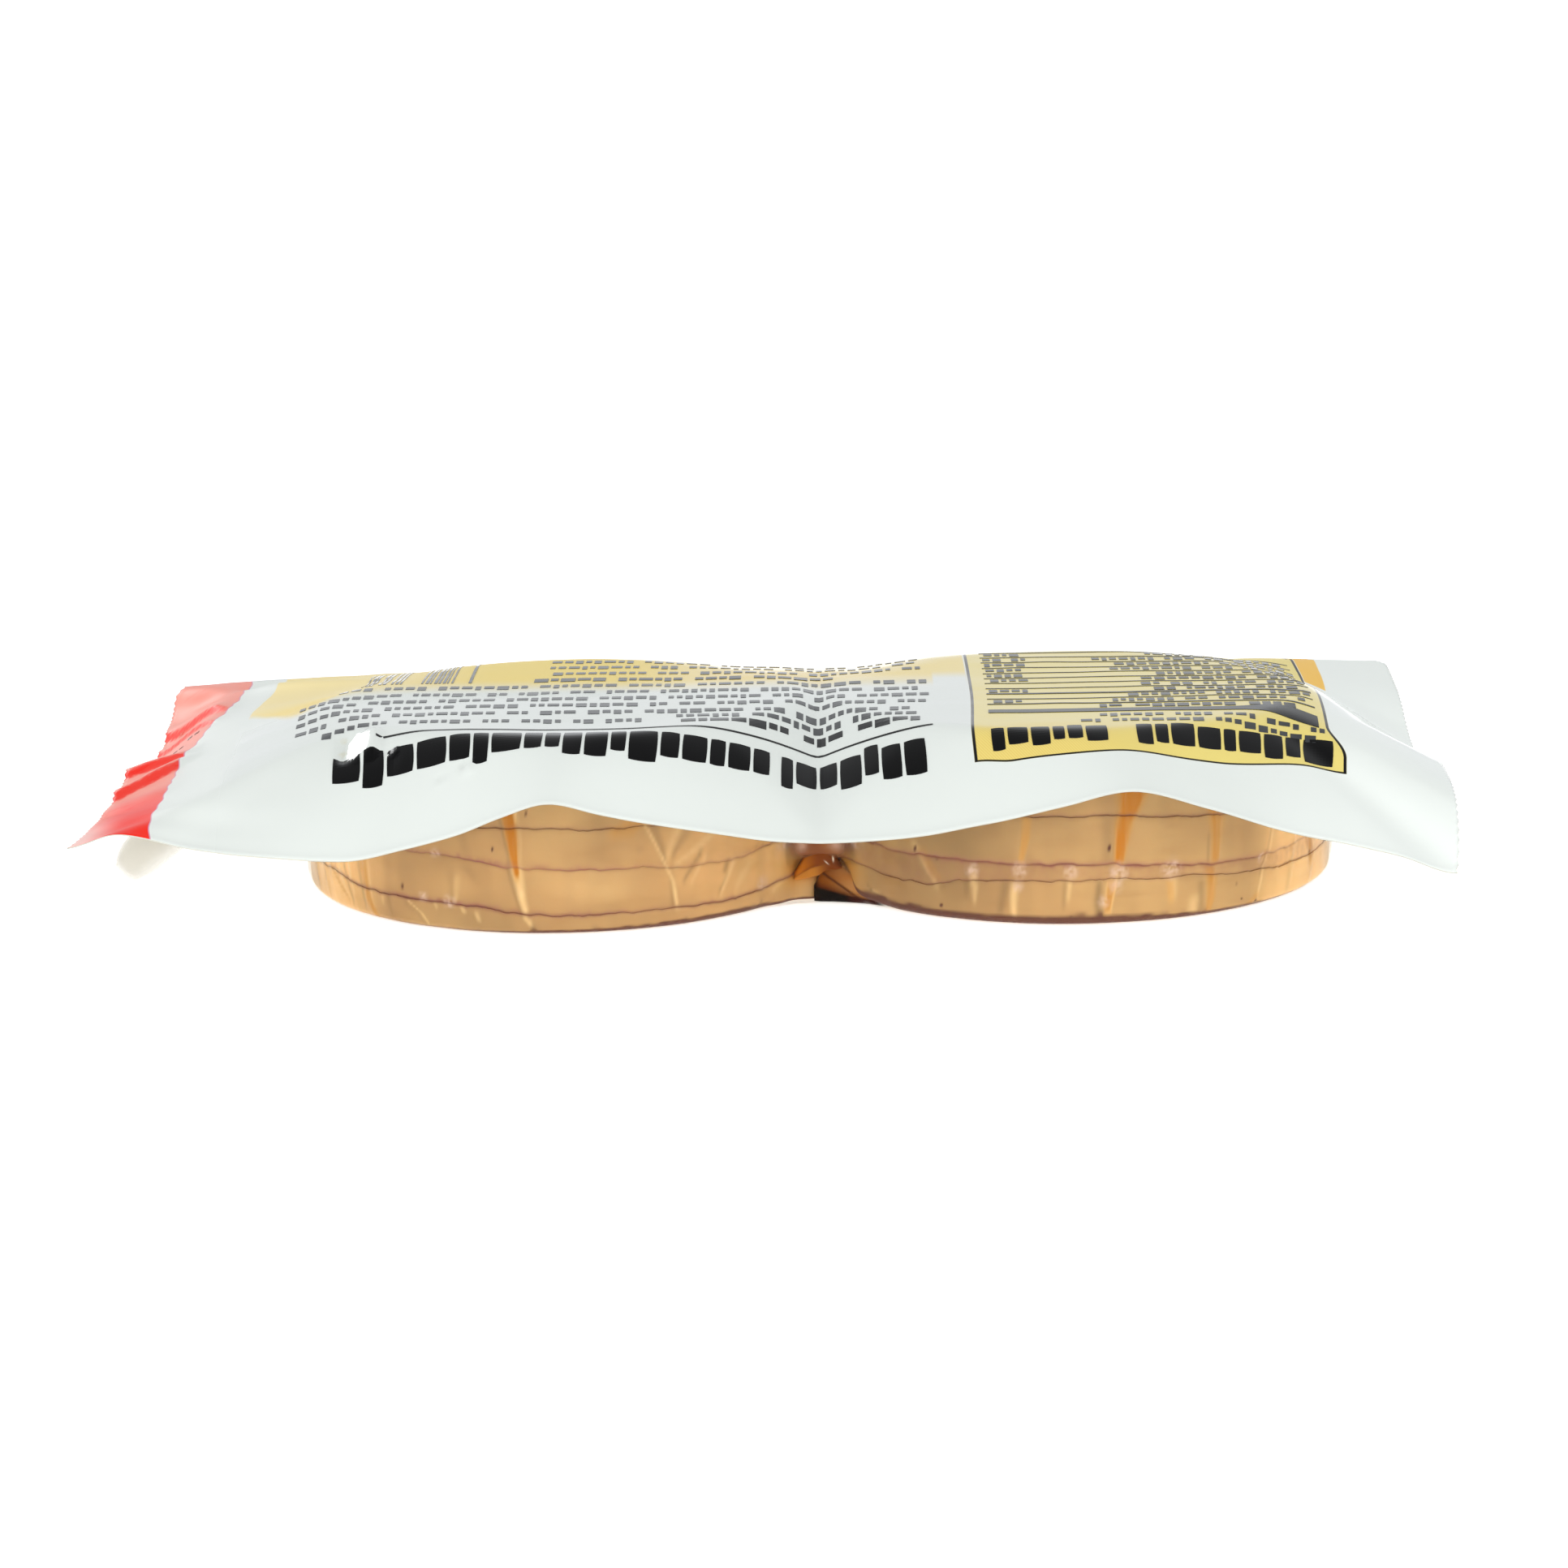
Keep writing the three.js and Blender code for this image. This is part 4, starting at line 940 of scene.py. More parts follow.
    ("right", "a", 0.70, [(61.3, 7.0, 2.32), (62.9, 4.8, 2.22), (61.4, 3.8, 1.27)]),
    ("right", "p", 0.60, [(65.0, 6.3, 1.2), (64.5, 3.8, 0.94)]),
    ("right", "p", 0.28, [(52.8, 3.3, 8.37), (51.5, 0.9, 8.12)]),
    ("right", "d", 0.15, [(18.9, 13.9, 11.22), (18.9, 9.0, 11.22)]),
]
# the haze at a seam, above it (1) or below it (-1): stack, seam, way, how tall, (angle, strength); under seam 2 of the
# right stack it is also painted shade from the slice above
HAZES = [
    ("left", 1, 1, 0.75, [(-66, 0.4), (-50, 0.75), (-42, 0.5), (-34, 0.95), (-20, 0.95), (-12, 0.7), (-6, 0.5), (2, 0.75), (10, 0.6), (18, 0.35), (24, 0.3), (33, 0.75), (42, 0.6), (50, 0.5), (58, 0.8)]),
    ("left", 1, -1, 0.35, [(-60, 0.1), (-24, 0.5), (-12, 0.35), (0, 0.3), (20, 0.2), (36, 0.3), (60, 0.3)]),
    ("left", 2, 1, 0.95, [(-60, 0.3), (-34, 0.55), (-26, 0.5), (-20, 0.9), (-12, 0.95), (-9, 0.3), (-4, 0.55), (4, 0.8), (12, 0.55), (22, 0.2), (40, 0.35), (56, 0.7)]),
    ("left", 3, 1, 0.35, [(-60, 0.2), (-8, 0.25), (0, 0.35), (12, 0.2), (20, 0.1), (60, 0.1)]),
    ("right", 2, -1, 1.0, [(-62, 0.5), (-45, 0.45), (-36, 0.55), (-28, 0.85), (-16, 0.8), (-12, 0.3), (-8, 0.85), (0, 0.8), (6, 0.2), (10, 0.9), (17, 0.5), (21, 0.75), (28, 0.65), (34, 0.5), (46, 0.25), (60, 0.15)]),
    ("right", 2, 1, 0.22, [(-60, 0.4), (0, 0.6), (30, 0.5), (60, 0.2)]),
    ("right", 1, 1, 0.25, [(-60, 0.5), (-40, 0.35), (-30, 0.45), (-20, 0.3), (30, 0.3), (60, 0.15)]),
    ("right", 3, 1, 0.30, [(-60, 0.2), (-10, 0.4), (30, 0.45), (60, 0.1)]),
]

# milky bubbles under the film and small dark specks: angle, height, radius in mm
BUBBLES = {"right": [(-23.2, 7.4, 1.0), (-12.8, 7.8, 1.0), (-2.1, 7.6, 0.9), (7.8, 7.4, 1.2), (19.3, 7.3, 1.3), (-13.3, 5.6, 0.8),
                     (7.1, 5.5, 0.9), (42.2, 6.8, 0.6), (-56.0, 9.6, 1.3), (4.6, 3.4, 0.8)],
           "left": [(55.0, 9.4, 0.8), (-24.0, 4.3, 0.9), (-30.5, 4.6, 0.7), (47.0, 4.0, 0.9), (-27.0, 10.9, 0.7)]}
SPECKS = {"right": [(-30.3, 2.0, 0.22), (35.2, 3.8, 0.14), (40.8, 1.0, 0.16), (62, 5.1, 0.18), (5.8, 11, 0.2), (-36.5, 9.5, 0.2), (-31.3, 8.6, 0.14)],
          "left": [(-35.9, 5.8, 0.26), (-13.8, 12, 0.15), (-13.3, 11.7, 0.15), (-6.5, 17.3, 0.2), (13.6, 15.7, 0.2)]}
# how tall the painted shade at the foot of each stack is, by angle
FOOT_PAINTED_SHADE = {"left": [(-70, 0.15), (-40, 0.2), (-14, 0.35), (-5, 0.5), (5, 0.55), (26, 0.75), (46, 0.75), (60, 0.4)],
              "right": [(-60, 0.9), (-46, 1.25), (-40, 1.15), (-28, 1.0), (-5, 1.05), (4.2, 1.25), (5.0, 1.0), (17, 0.85), (26, 0.6), (40, 0.45), (60, 0.3)]}


def stains(side, k, phi, z):
    """What has soaked the rim, each 0 to 1: amber juice, dark specks with painted shade at the foot, in folds and in
    the notch, milky froth, the meat's lightness with painted light and shade, painted highlights of the film's folds,
    and the haze at the seams."""
    amber, dusk, milk, pale, dark, haze = 0 * z, 0 * z, 0 * z, 0 * z, 0 * z, 0 * z
    turn = wrap(phi)
    near = smooth(80, 66, np.abs(turn))
    streaks = 0.88 + 0.16 * noise2(phi * 1.6, z * 0.25, 4) + 0.10 * noise2(phi * 3.0, z * 0.5, 5)
    for spec in CREASES:
        if spec[0] != side:
            continue
        t, fade, w = crease_at(spec, phi, z)
        hidden = 1 - near if spec[3] > 0 else 1.0      # the near side has its own marks
        if spec[3] > 0:
            amber = np.maximum(amber, hidden * fade * spec[3] * (1 - smooth(0.3, 1.4, np.abs(t))) * streaks)
        # beside each crease on the sides that face away: a line of painted shade on one side and a painted highlight on
        # the other
        width = 0.16 * max(1.0, 1.1 / float(np.max([q[2] for q in spec[1]])))
        dark = np.maximum(dark, 0.5 * (1 - near) * fade * np.exp(-((t + 1.25) / width) ** 2))
        pale = np.maximum(pale, 0.6 * (1 - near) * fade * np.exp(-((t - 0.95) / (1.6 * width)) ** 2))
    for which, kind, strength, pts in MARKS:
        if which != side:
            continue
        P = np.array(sorted(pts, key=lambda q: q[1]))
        c, w = np.interp(z, P[:, 1], P[:, 0]), np.interp(z, P[:, 1], P[:, 2])
        t = wrap(phi - c) * 0.655 / (w * 0.5)
        if P[-1, 1] > 12.0 or (which == "right" and abs(P[-1, 0]) > 40 and P[-1, 1] > 9):
            # it goes on up under the lid
            run = (P[-1] - P[-2]) / max(P[-1, 1] - P[-2, 1], 0.5)
            P = np.vstack([P, P[-1] + run * 2.5])
            c, w = np.interp(z, P[:, 1], P[:, 0]), np.interp(z, P[:, 1], P[:, 2])
            t = wrap(phi - c) * 0.655 / (w * 0.5)
        end = min(1.4, 0.45 * (P[-1, 1] - P[0, 1]) + 0.15)
        fade = smooth(P[0, 1] - end, P[0, 1] + 0.4 * end, z) * (1 - smooth(P[-1, 1] - 0.4 * end, P[-1, 1] + end, z))
        if kind == "a":
            amber = np.maximum(amber, strength * fade * (1 - smooth(0.45, 1.35, np.abs(t))) * streaks)
        # p marks are painted highlights along the folds, d marks painted shade beside them
        elif kind == "p":
            pale = np.maximum(pale, strength * fade * np.exp(-np.abs(t) ** 2.4) * (0.85 + 0.25 * noise2(phi * 2.0, z * 1.2, 7)))
        else:
            dark = np.maximum(dark, strength * fade * np.exp(-np.abs(t) ** 2.2))
    for a, h, r in BUBBLES.get(side, []):
        d = np.hypot(wrap(phi - a) * 0.65, z - h) / r
        milk = np.maximum(milk, np.clip(1.35 - d, 0, 1) ** 0.8 * (0.62 + 0.38 * noise2(z * 3.1, phi * 1.9, 6)))
    for a, h, r in SPECKS.get(side, []):
        d = np.hypot(wrap(phi - a) * 0.65, z - h) / r
        dusk = np.maximum(dusk, 1.3 * np.clip(1.6 - d, 0, 1))
    for which, seam, way, tall, table in HAZES:
        if which != side or seam != (k - 1 if way > 0 else k):
            continue
        far_off = (z - seam_z(side, seam, phi, 1.0)) * way
        T = np.array(table)
        amount = np.interp(turn, T[:, 0], T[:, 1]) * near + 0.45 * (1 - near)
        reach = tall * (0.75 + 0.55 * noise1(phi * 0.55, seam + 50) + 0.25 * noise1(phi * 1.4, seam + 55)) + 0.12
        haze = np.maximum(haze, amount * (1 - smooth(0.0, 1.0, far_off / np.maximum(reach, 0.15))))
    if k == 1:
        # a band of painted shade at the foot of the bottom slice, on its shadowed curved underside
        h = 1.45 * np.interp(turn, *zip(*FOOT_PAINTED_SHADE[side])) * near + 0.3 * (1 - near)
        h = h * (1 + 0.12 * noise1(phi * 0.5, 60))
        dusk = np.maximum(dusk, 1 - smooth(h * 0.85, h * 1.08 + 0.10, z - seam_z(side, 0, phi, 1.0) + BASE_Z))
        # painted shade in short folds that climb from the floor
        for a, w, tall in (((-5.4, 0.5, 1.4), (7.4, 0.5, 1.3), (26.4, 0.5, 1.3), (44.2, 0.6, 1.6)) if side == "left"
                           else ((-15.1, 0.4, 1.5), (4.4, 0.45, 1.9), (17.7, 0.4, 1.4), (27.2, 0.4, 1.5), (-44.0, 0.5, 2.0))):
            t = wrap(phi - a) * 0.65 / w
            dusk = np.maximum(dusk, 0.75 * np.exp(-t * t * 1.6) * (1 - smooth(tall * 0.45, tall, z)))
    # the recessed second slice of the right stack is duskier all over: partly its own colour, partly painted shade
    if side == "right" and k == 2:
        haze = np.maximum(haze, 0.22 * near)
    # the notch between the stacks
    g = gap_angle(side, phi)
    deep = smooth(48, 57, g)
    amber = np.maximum(amber, 0.80 * deep * (1 - smooth(5.5, 8.5, z)) * smooth(1.5, 4.0, z))
    haze = np.maximum(haze, 0.75 * smooth(48, 56, g) * smooth(6.0, 9.0, z))
    # painted shade deep in the notch, where the stacks press together
    dusk = np.maximum(dusk, 0.6 * smooth(57, 62, g))
    milk = np.maximum(milk, 0.7 * smooth(50, 54, g) * (1 - smooth(57, 60, g)) * smooth(7.6, 8.6, z) * (1 - smooth(9.6, 10.6, z)))
    # the meat's lightness: a little painted light towards the top, a random tone, then for each stack painted light and
    # shade over the near side, lighter towards both sides of it and darker low down and in places between
    top = smooth(7.0, 15.0, z)
    brightness_with_painted_light = 1 + 0.03 * top * near
    brightness_with_painted_light = brightness_with_painted_light * (1 + 0.05 * noise2(phi * 0.12, z * 0.3 + k, 14) + 0.05 * noise2(phi * 0.45, z * 0.12, 15))
    if side == "right":
        brightness_with_painted_light = brightness_with_painted_light * (0.81 + 0.13 * smooth(-34, -50, turn)) * (1 + 0.80 * smooth(37, 52, turn) * near) * (1 - 0.22 * smooth(-10, -30, turn) * near)
    else:
        brightness_with_painted_light = brightness_with_painted_light * (0.88 - 0.16 * (1 - smooth(1.0, 7.0, z)) - 0.12 * (1 - smooth(2.0, 8.0, z)) * np.exp(-((turn + 17) / 9) ** 2))
        brightness_with_painted_light = brightness_with_painted_light * (1 + 0.80 * smooth(-36, -56, turn) * near) * (1 + 0.40 * smooth(12, 38, turn) * near)
    # the painted shade beside the folds darkens the meat
    return amber, dusk, milk, brightness_with_painted_light * (1 - 0.52 * dark), pale, haze


def slice_mesh(side, k):
    phi = columns()
    cols = len(phi)
    p = np.radians(phi)
    e, eb = 0.03, (0.03 if k > 1 else 1.0)
    r_rim = rim_r(side, k, phi)
    zb, zt = seam_z(side, k - 1, phi, 1.0), seam_z(side, k, phi, 1.0)
    fr = [0.35, 0.7, 0.86, 0.95]
    rows = []                                          # (radius, z, from bottom seam, from top seam)
    for f in fr:
        r = (r_rim - eb) * f
        rows.append((r, seam_z(side, k - 1, phi, f * 0.99) + 0.01, 5 + 0 * r if k == 1 else -(r_rim - r), 5 + 0 * r))
    m_ = 4 if k > 1 else 7
    for i in range(m_):
        a = i / (m_ - 1) * math.pi / 2
        rows.append((r_rim - eb + eb * math.sin(a), zb + 0.01 + eb * (1 - math.cos(a)), eb * (1 - math.cos(a)) - eb * (1 - math.sin(a)) + 0 * r_rim, (zt - zb)))
    for i in range(1, 9):
        t = i / 9
        z = mix(zb + 0.01 + eb, zt - 0.01 - e, t)
        puff = 0.07 * (1 - (2 * t - 1) ** 2)
        rows.append((r_rim + puff, z, z - zb, zt - z))
    for i in range(4):
        a = (1 - i / 3) * math.pi / 2
        rows.append((r_rim - e + e * math.sin(a), zt - 0.01 - e * (1 - math.cos(a)), (zt - zb), e * (1 - math.cos(a)) - e * (1 - math.sin(a)) + 0 * r_rim))
    for f in reversed(fr):
        r = (r_rim - e) * f
        rows.append((r, seam_z(side, k, phi, f * 0.99) - 0.01, 5 + 0 * r, -(r_rim - r)))
    pts, att, stain, tone_with_painted_light = [], [], [], []
    inner = [0.0, 0.0, 0.0, 0.15]                      # the juice stains the rim, not the cut faces
    wet = inner + [1.0] * (len(rows) - 8) + inner[::-1]
    wet[4] = 0.6
    for w, (r, z, a, b) in zip(wet, rows):
        r = flat_side(side, phi, r)
        x, y = STACK[side] + r * np.sin(p), -r * np.cos(p)
        z = np.minimum(z, lid_under(x, y) + 0.02)
        pts.append(np.stack([x, y, z], -1))
        att.append(np.stack([wrap(phi) * math.radians(1) * SLICE_R, a + 0 * r, b + 0 * r], -1))
        am, specks_with_shade, mi, painted_light_scale, painted_glints, ha = stains(side, k, phi, z)
        stain.append(np.stack([am * w, specks_with_shade * w, mi * w], -1))
        tone_with_painted_light.append(np.stack([mix(0.97, painted_light_scale, w), painted_glints * w, ha * w], -1))
    n = len(rows)
    c0 = [STACK[side], 0, float(seam_z(side, k - 1, np.zeros(1), 0)[0]) + 0.01]
    c1 = [STACK[side], 0, float(seam_z(side, k, np.zeros(1), 0)[0]) - 0.01]
    P = np.vstack(pts + [[c0], [c1]])
    A = np.vstack(att + [[[0, 5 if k == 1 else -30, 5]], [[0, 5, -30]]])
    S = np.vstack(stain + [[[0, 0, 0]], [[0, 0, 0]]])
    T = np.vstack(tone_with_painted_light + [[[1, 0, 0]], [[1, 0, 0]]])
    q = grid_faces(n, cols, closed=True)
    i = np.arange(cols)
    j = (i + 1) % cols
    t0 = np.stack([np.full(cols, n * cols), j, i], -1)
    t1 = np.stack([np.full(cols, n * cols + 1), (n - 1) * cols + i, (n - 1) * cols + j], -1)
    return make("slice_%s_%d_meat" % (side, k), P, q, tris=np.vstack([t0, t1]), attrs={"rim": A, "stain": S, "tone_with_painted_light": T})


def meat_material():
    m = Net("liverwurst")
    vec, s, a, b = m.attribute("rim")
    vec2, amber, specks_and_painted_shade, milky = m.attribute("stain")
    vec3, brightness_with_painted_light, t1, t2 = m.attribute("tone_with_painted_light")
    place = m.place()
    big = m.noise(place, 55.0, 2.0)
    fine = m.noise(place, 700.0, 3.0, 0.6)
    streak = m.noise(m.stretch(place, 1.0, 1.0, 3.5), 160.0, 3.0)
    colour = m.mix_colour(m.ramp(big, 0.35, 0.65), rgb(*TAN_A), rgb(*TAN_B))
    colour = m.mix_colour(m.ramp(streak, 0.45, 0.75) * 0.25, colour, rgb(*TAN_DARK))
    colour = m.mix_colour(m.ramp(fine, 0.60, 0.85) * 0.15, colour, rgb(*TAN_LIGHT))
    # scale the colour by the meat's lightness, which holds painted light and shade
    shade = m.node("ShaderNodeVectorMath", operation="SCALE")
    m.put(shade.inputs[0], colour)
    m.put(shade.inputs["Scale"], brightness_with_painted_light)
    colour = shade.outputs[0]
    # painted highlights where the film's folds catch the light
    colour = m.mix_colour(t1.clamped(), colour, rgb(*GLINT))
    # amber juice in the creases, uneven along them
    run = m.noise(m.stretch(place, 1.0, 1.0, 0.30), 420.0, 2.0)
    wet = (amber * (0.95 + 0.4 * run)).clamped()
    amber_colour = m.mix_colour(m.ramp(amber, 0.25, 0.95), rgb(*AMBER_PALE), rgb(*AMBER_DEEP))
    colour = m.mix_colour(wet, colour, amber_colour)
    # dusky at the seams: the cut faces and the rim's edges, with a ragged smear
    ragged = m.noise(m.vector(s * 1.3, a * 0.8, b * 0.2), 1.0, 4.0, 0.65)
    smear = m.noise(m.vector(s * 0.22, 0.0, 0.0), 1.0, 3.0, 0.6)
    strong = 0.30 + 0.70 * m.ramp(smear, 0.38, 0.62)
    near_seam = (0.25 + 1.0 * t2).clamped()
    under_top = (1.0 - m.ramp(b + 0.40 * (ragged - 0.5), 0.02, 0.42)) * near_seam
    over_bottom = (1.0 - m.ramp(a + 0.45 * (ragged - 0.5), 0.02, 0.34)) * near_seam * (0.5 + 0.5 * strong)
    dusk = under_top.max(over_bottom)
    cloud = (t2 * (0.45 + 1.1 * m.ramp(ragged, 0.30, 0.70))).clamped()
    colour = m.mix_colour(cloud * 0.90, colour, rgb(*HAZE))
    colour = m.mix_colour((dusk * 0.85).clamped(), colour, rgb(*DUSK))
    # dark specks, and painted shade at the foot, in the climbing folds and deep in the notch
    speck_and_shade_amount = (specks_and_painted_shade * (0.80 + 0.45 * ragged)).clamped()
    colour = m.mix_colour(speck_and_shade_amount * 0.92, colour, rgb(*SPECK_AND_PAINTED_SHADE))
    froth = m.noise(place, 1500.0, 3.0, 0.6)
    colour = m.mix_colour((milky * m.ramp(froth, 0.30, 0.55) * 0.90).clamped(), colour, rgb(226, 196, 178))
    # faint grey smudges
    smudge = m.ramp(m.noise(place, 120.0, 2.0), 0.68, 0.82) * 0.16
    colour = m.mix_colour(smudge, colour, rgb(128, 88, 66))
    v = m.node("ShaderNodeTexVoronoi", feature="F1")
    m.put(v.inputs["Vector"], place)
    v.inputs["Scale"].default_value = 170.0
    v.inputs["Randomness"].default_value = 1.0
    d = Value(m, v.outputs["Distance"])
    pick = m.node("ShaderNodeSeparateColor")
    m.put(pick.inputs[0], v.outputs["Color"])
    speck = (1.0 - m.step(d, 0.035, 0.03)) * m.step(Value(m, pick.outputs[0]), 0.92, 0.01)
    colour = m.mix_colour(speck * 0.7, colour, rgb(90, 50, 30))
    p = m.node("ShaderNodeBsdfPrincipled")
    m.put(p.inputs["Base Color"], colour)
    m.put(p.inputs["Roughness"], 0.44 + 0.16 * fine)
    p.inputs["IOR"].default_value = 1.38
    p.inputs["Subsurface Weight"].default_value = 0.18
    p.inputs["Subsurface Radius"].default_value = (1.0, 0.5, 0.25)
    p.inputs["Subsurface Scale"].default_value = 0.0009
    bump = m.node("ShaderNodeBump")
    bump.inputs["Strength"].default_value = 0.2
    bump.inputs["Distance"].default_value = 0.0002
    m.put(bump.inputs["Height"], fine + 0.6 * streak)
    m.put(p.inputs["Normal"], bump.outputs[0])
    m.put(m.out.inputs["Surface"], p.outputs[0])
    return m.material


TAN_A = (206, 161, 107)
TAN_B = (218, 175, 117)
TAN_DARK = (184, 138, 84)
TAN_LIGHT = (232, 198, 142)
DUSK = (132, 76, 66)
HAZE = (158, 102, 86)
GLINT = (244, 208, 150)
# dark specks and painted shade
SPECK_AND_PAINTED_SHADE = (86, 38, 34)
AMBER_DEEP = (196, 120, 14)
AMBER_PALE = (210, 150, 62)

meat = meat_material()
slices = []
for side in ("left", "right"):
    for k in range(1, SLICES + 1):
        o = slice_mesh(side, k)
        o.data.materials.append(meat)
        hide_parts("slice_%s_%d" % (side, k))
        slices.append(o)


def film_r(side, phi, z):
    """Inner radius of the clear film about a stack: it clings to the rims, spans the seams
    and stands off in creases."""
    r = np.zeros_like(z)
    total = np.zeros_like(z)
    edges = [seam_z(side, k, phi, 1.0) for k in range(SLICES + 1)]
    edges[0] = 0 * edges[0] + BASE_Z
    for k in range(1, SLICES + 1):
        lo_, hi_ = edges[k - 1], edges[k]
        w = smooth(-0.55, 0.55, z - lo_) * (1 - smooth(-0.55, 0.55, z - hi_))
        if k == 1:
            w = 1 - smooth(-0.55, 0.55, z - hi_)
        if k == SLICES:
            w = smooth(-0.55, 0.55, z - lo_)
        r += w * (rim_r(side, k, phi) + 0.08 * (1 - np.clip((2 * (z - lo_) / (hi_ - lo_) - 1) ** 2, 0, 1)))
        total += w
    r = r / np.maximum(total, 1e-6) + 0.06
    dip = np.zeros_like(z)
    for k in range(1, SLICES):
        dip += np.exp(-((z - edges[k]) / 0.30) ** 2)
    r -= 0.05 * dip
    lift = np.zeros_like(z)
    for spec in CREASES:
        if spec[0] != side:
            continue
        t, fade, w = crease_at(spec, phi, z)
        shape = np.clip(1 - np.abs(t), 0, 1)
        shape = shape ** 0.85 if spec[3] < 0.4 else shape ** 0.6
        h = spec[2] * np.minimum(w / 1.0, 1.2) * shape * fade
        lift = np.maximum(lift, h)
        r -= 0.04 * np.exp(-((np.abs(t) - 1.15) / 0.25) ** 2) * fade
    # small buckles all over, mostly upright
    buckle = noise2(phi * 0.35, z * 0.16, 31) + 0.6 * noise2(phi * 0.8 + z * 0.12, z * 0.3, 32)
    r += 0.045 * np.clip(buckle, 0, 2)
    return r + lift, lift


# ---------------------------------------------------------------- the pocket's outline
def outline():
    """Columns of the pocket: foot point, outward way, stack, angle, share of the web, place on the cut edge."""
    reach = math.pi - TOUCH
    lobe_len = POCKET_R * (math.pi / 2 - TOUCH)
    web_len = WEB_RADIUS * (math.pi / 2 - TOUCH)
    whole = lobe_len + web_len
    out = []

    def steps(a0, a1):
        """Angles from a0 to a1, close together on the near side."""
        near_side = lambda a: math.sin(a) < 0.0 or math.cos(a) > 0.9
        a, way = a0, (1 if a1 > a0 else -1)
        got = []
        while (a1 - a) * way > 1e-9:
            got.append(a)
            s_ = math.sin(a)
            a += way * math.radians(0.44 if s_ < -0.15 else (1.0 if s_ < 0.2 else 2.3))
        if abs(a1 - got[-1]) < math.radians(0.25):
            got.pop()
        return got

    def lobe(sgn, a0, a1):
        cx = STACK["right"] if sgn > 0 else STACK["left"]
        for a in steps(a0, a1):
            c, s = math.cos(a), math.sin(a)
            n = (sgn * c, s)
            p = (cx + POCKET_R * n[0], POCKET_R * n[1])
            if c >= -1e-9:
                ex = END_R if sgn > 0 else END_L
                t = min(abs(ex - cx) / max(c, 1e-9), HALF_W / max(abs(s), 1e-9))
                b = (cx + sgn * c * t, s * t)
            else:
                part = POCKET_R * (abs(a) - math.pi / 2) / whole
                b = (mix(cx, MID, part), math.copysign(HALF_W, s))
            out.append((*p, *n, *b, sgn, math.degrees(math.atan2(n[0], -n[1])), 0.0))

    def web(from_sgn, ys):
        web_n = 44 if ys < 0 else 20
        for i in range(web_n):
            w = (math.pi / 2 - TOUCH) * (1 - 2 * i / web_n) * from_sgn
            n = (-math.sin(w), ys * math.cos(w))
            p = (MID - WEB_RADIUS * n[0], ys * WEB_CENTRE - WEB_RADIUS * n[1])
            part = (lobe_len + WEB_RADIUS * (math.pi / 2 - TOUCH - abs(w))) / whole
            sgn = 1 if w > 0 else -1
            cx = STACK["right"] if sgn > 0 else STACK["left"]
            b = (mix(cx, MID, part), ys * HALF_W)
            ang = math.degrees(math.atan2(p[0] - cx, -p[1]))
            share = 1 - abs(w) / (math.pi / 2 - TOUCH)
            out.append((*p, *n, *b, sgn, ang, max(share, 1e-3)))

    lobe(1, -reach, reach)
    web(1, 1)
    lobe(-1, reach, -reach)
    web(-1, -1)
    return np.array(out)


LINE = outline()
NCOL = len(LINE)
PX, PY, NX, NY, BX, BY, SGN, PHI, WEB = LINE.T
for cx_, cy_ in ((END_L, -HALF_W), (END_L, HALF_W), (END_R, HALF_W), (END_R, -HALF_W)):
    i_ = np.argmin(np.hypot(BX - cx_, BY - cy_))
    BX[i_], BY[i_] = cx_, cy_
BX = np.where(abs(BX - END_L) < 1e-6, left_x(BY), np.where(abs(BX - END_R) < 1e-6, right_x(BY), BX))


def wall(z):
    """Inner film offset from the outline at heights z, one for each column."""
    d = np.zeros(NCOL)
    for sgn, side in ((1, "right"), (-1, "left")):
        m_ = (SGN == sgn)
        r, _ = film_r(side, PHI[m_], z[m_])
        on_lobe = 1 - smooth(0.0, 0.25, WEB[m_])
        d[m_] = (r - POCKET_R) * on_lobe
    # the web between the stacks has folds of its own
    fold = 0.28 * noise2(PX * 0.55, z * 0.16, 8) + 0.16 * noise2(PX * 1.3 + z * 0.2, z * 0.35, 9)
    d += smooth(0, 0.4, WEB) * (fold - 0.05)
    return d


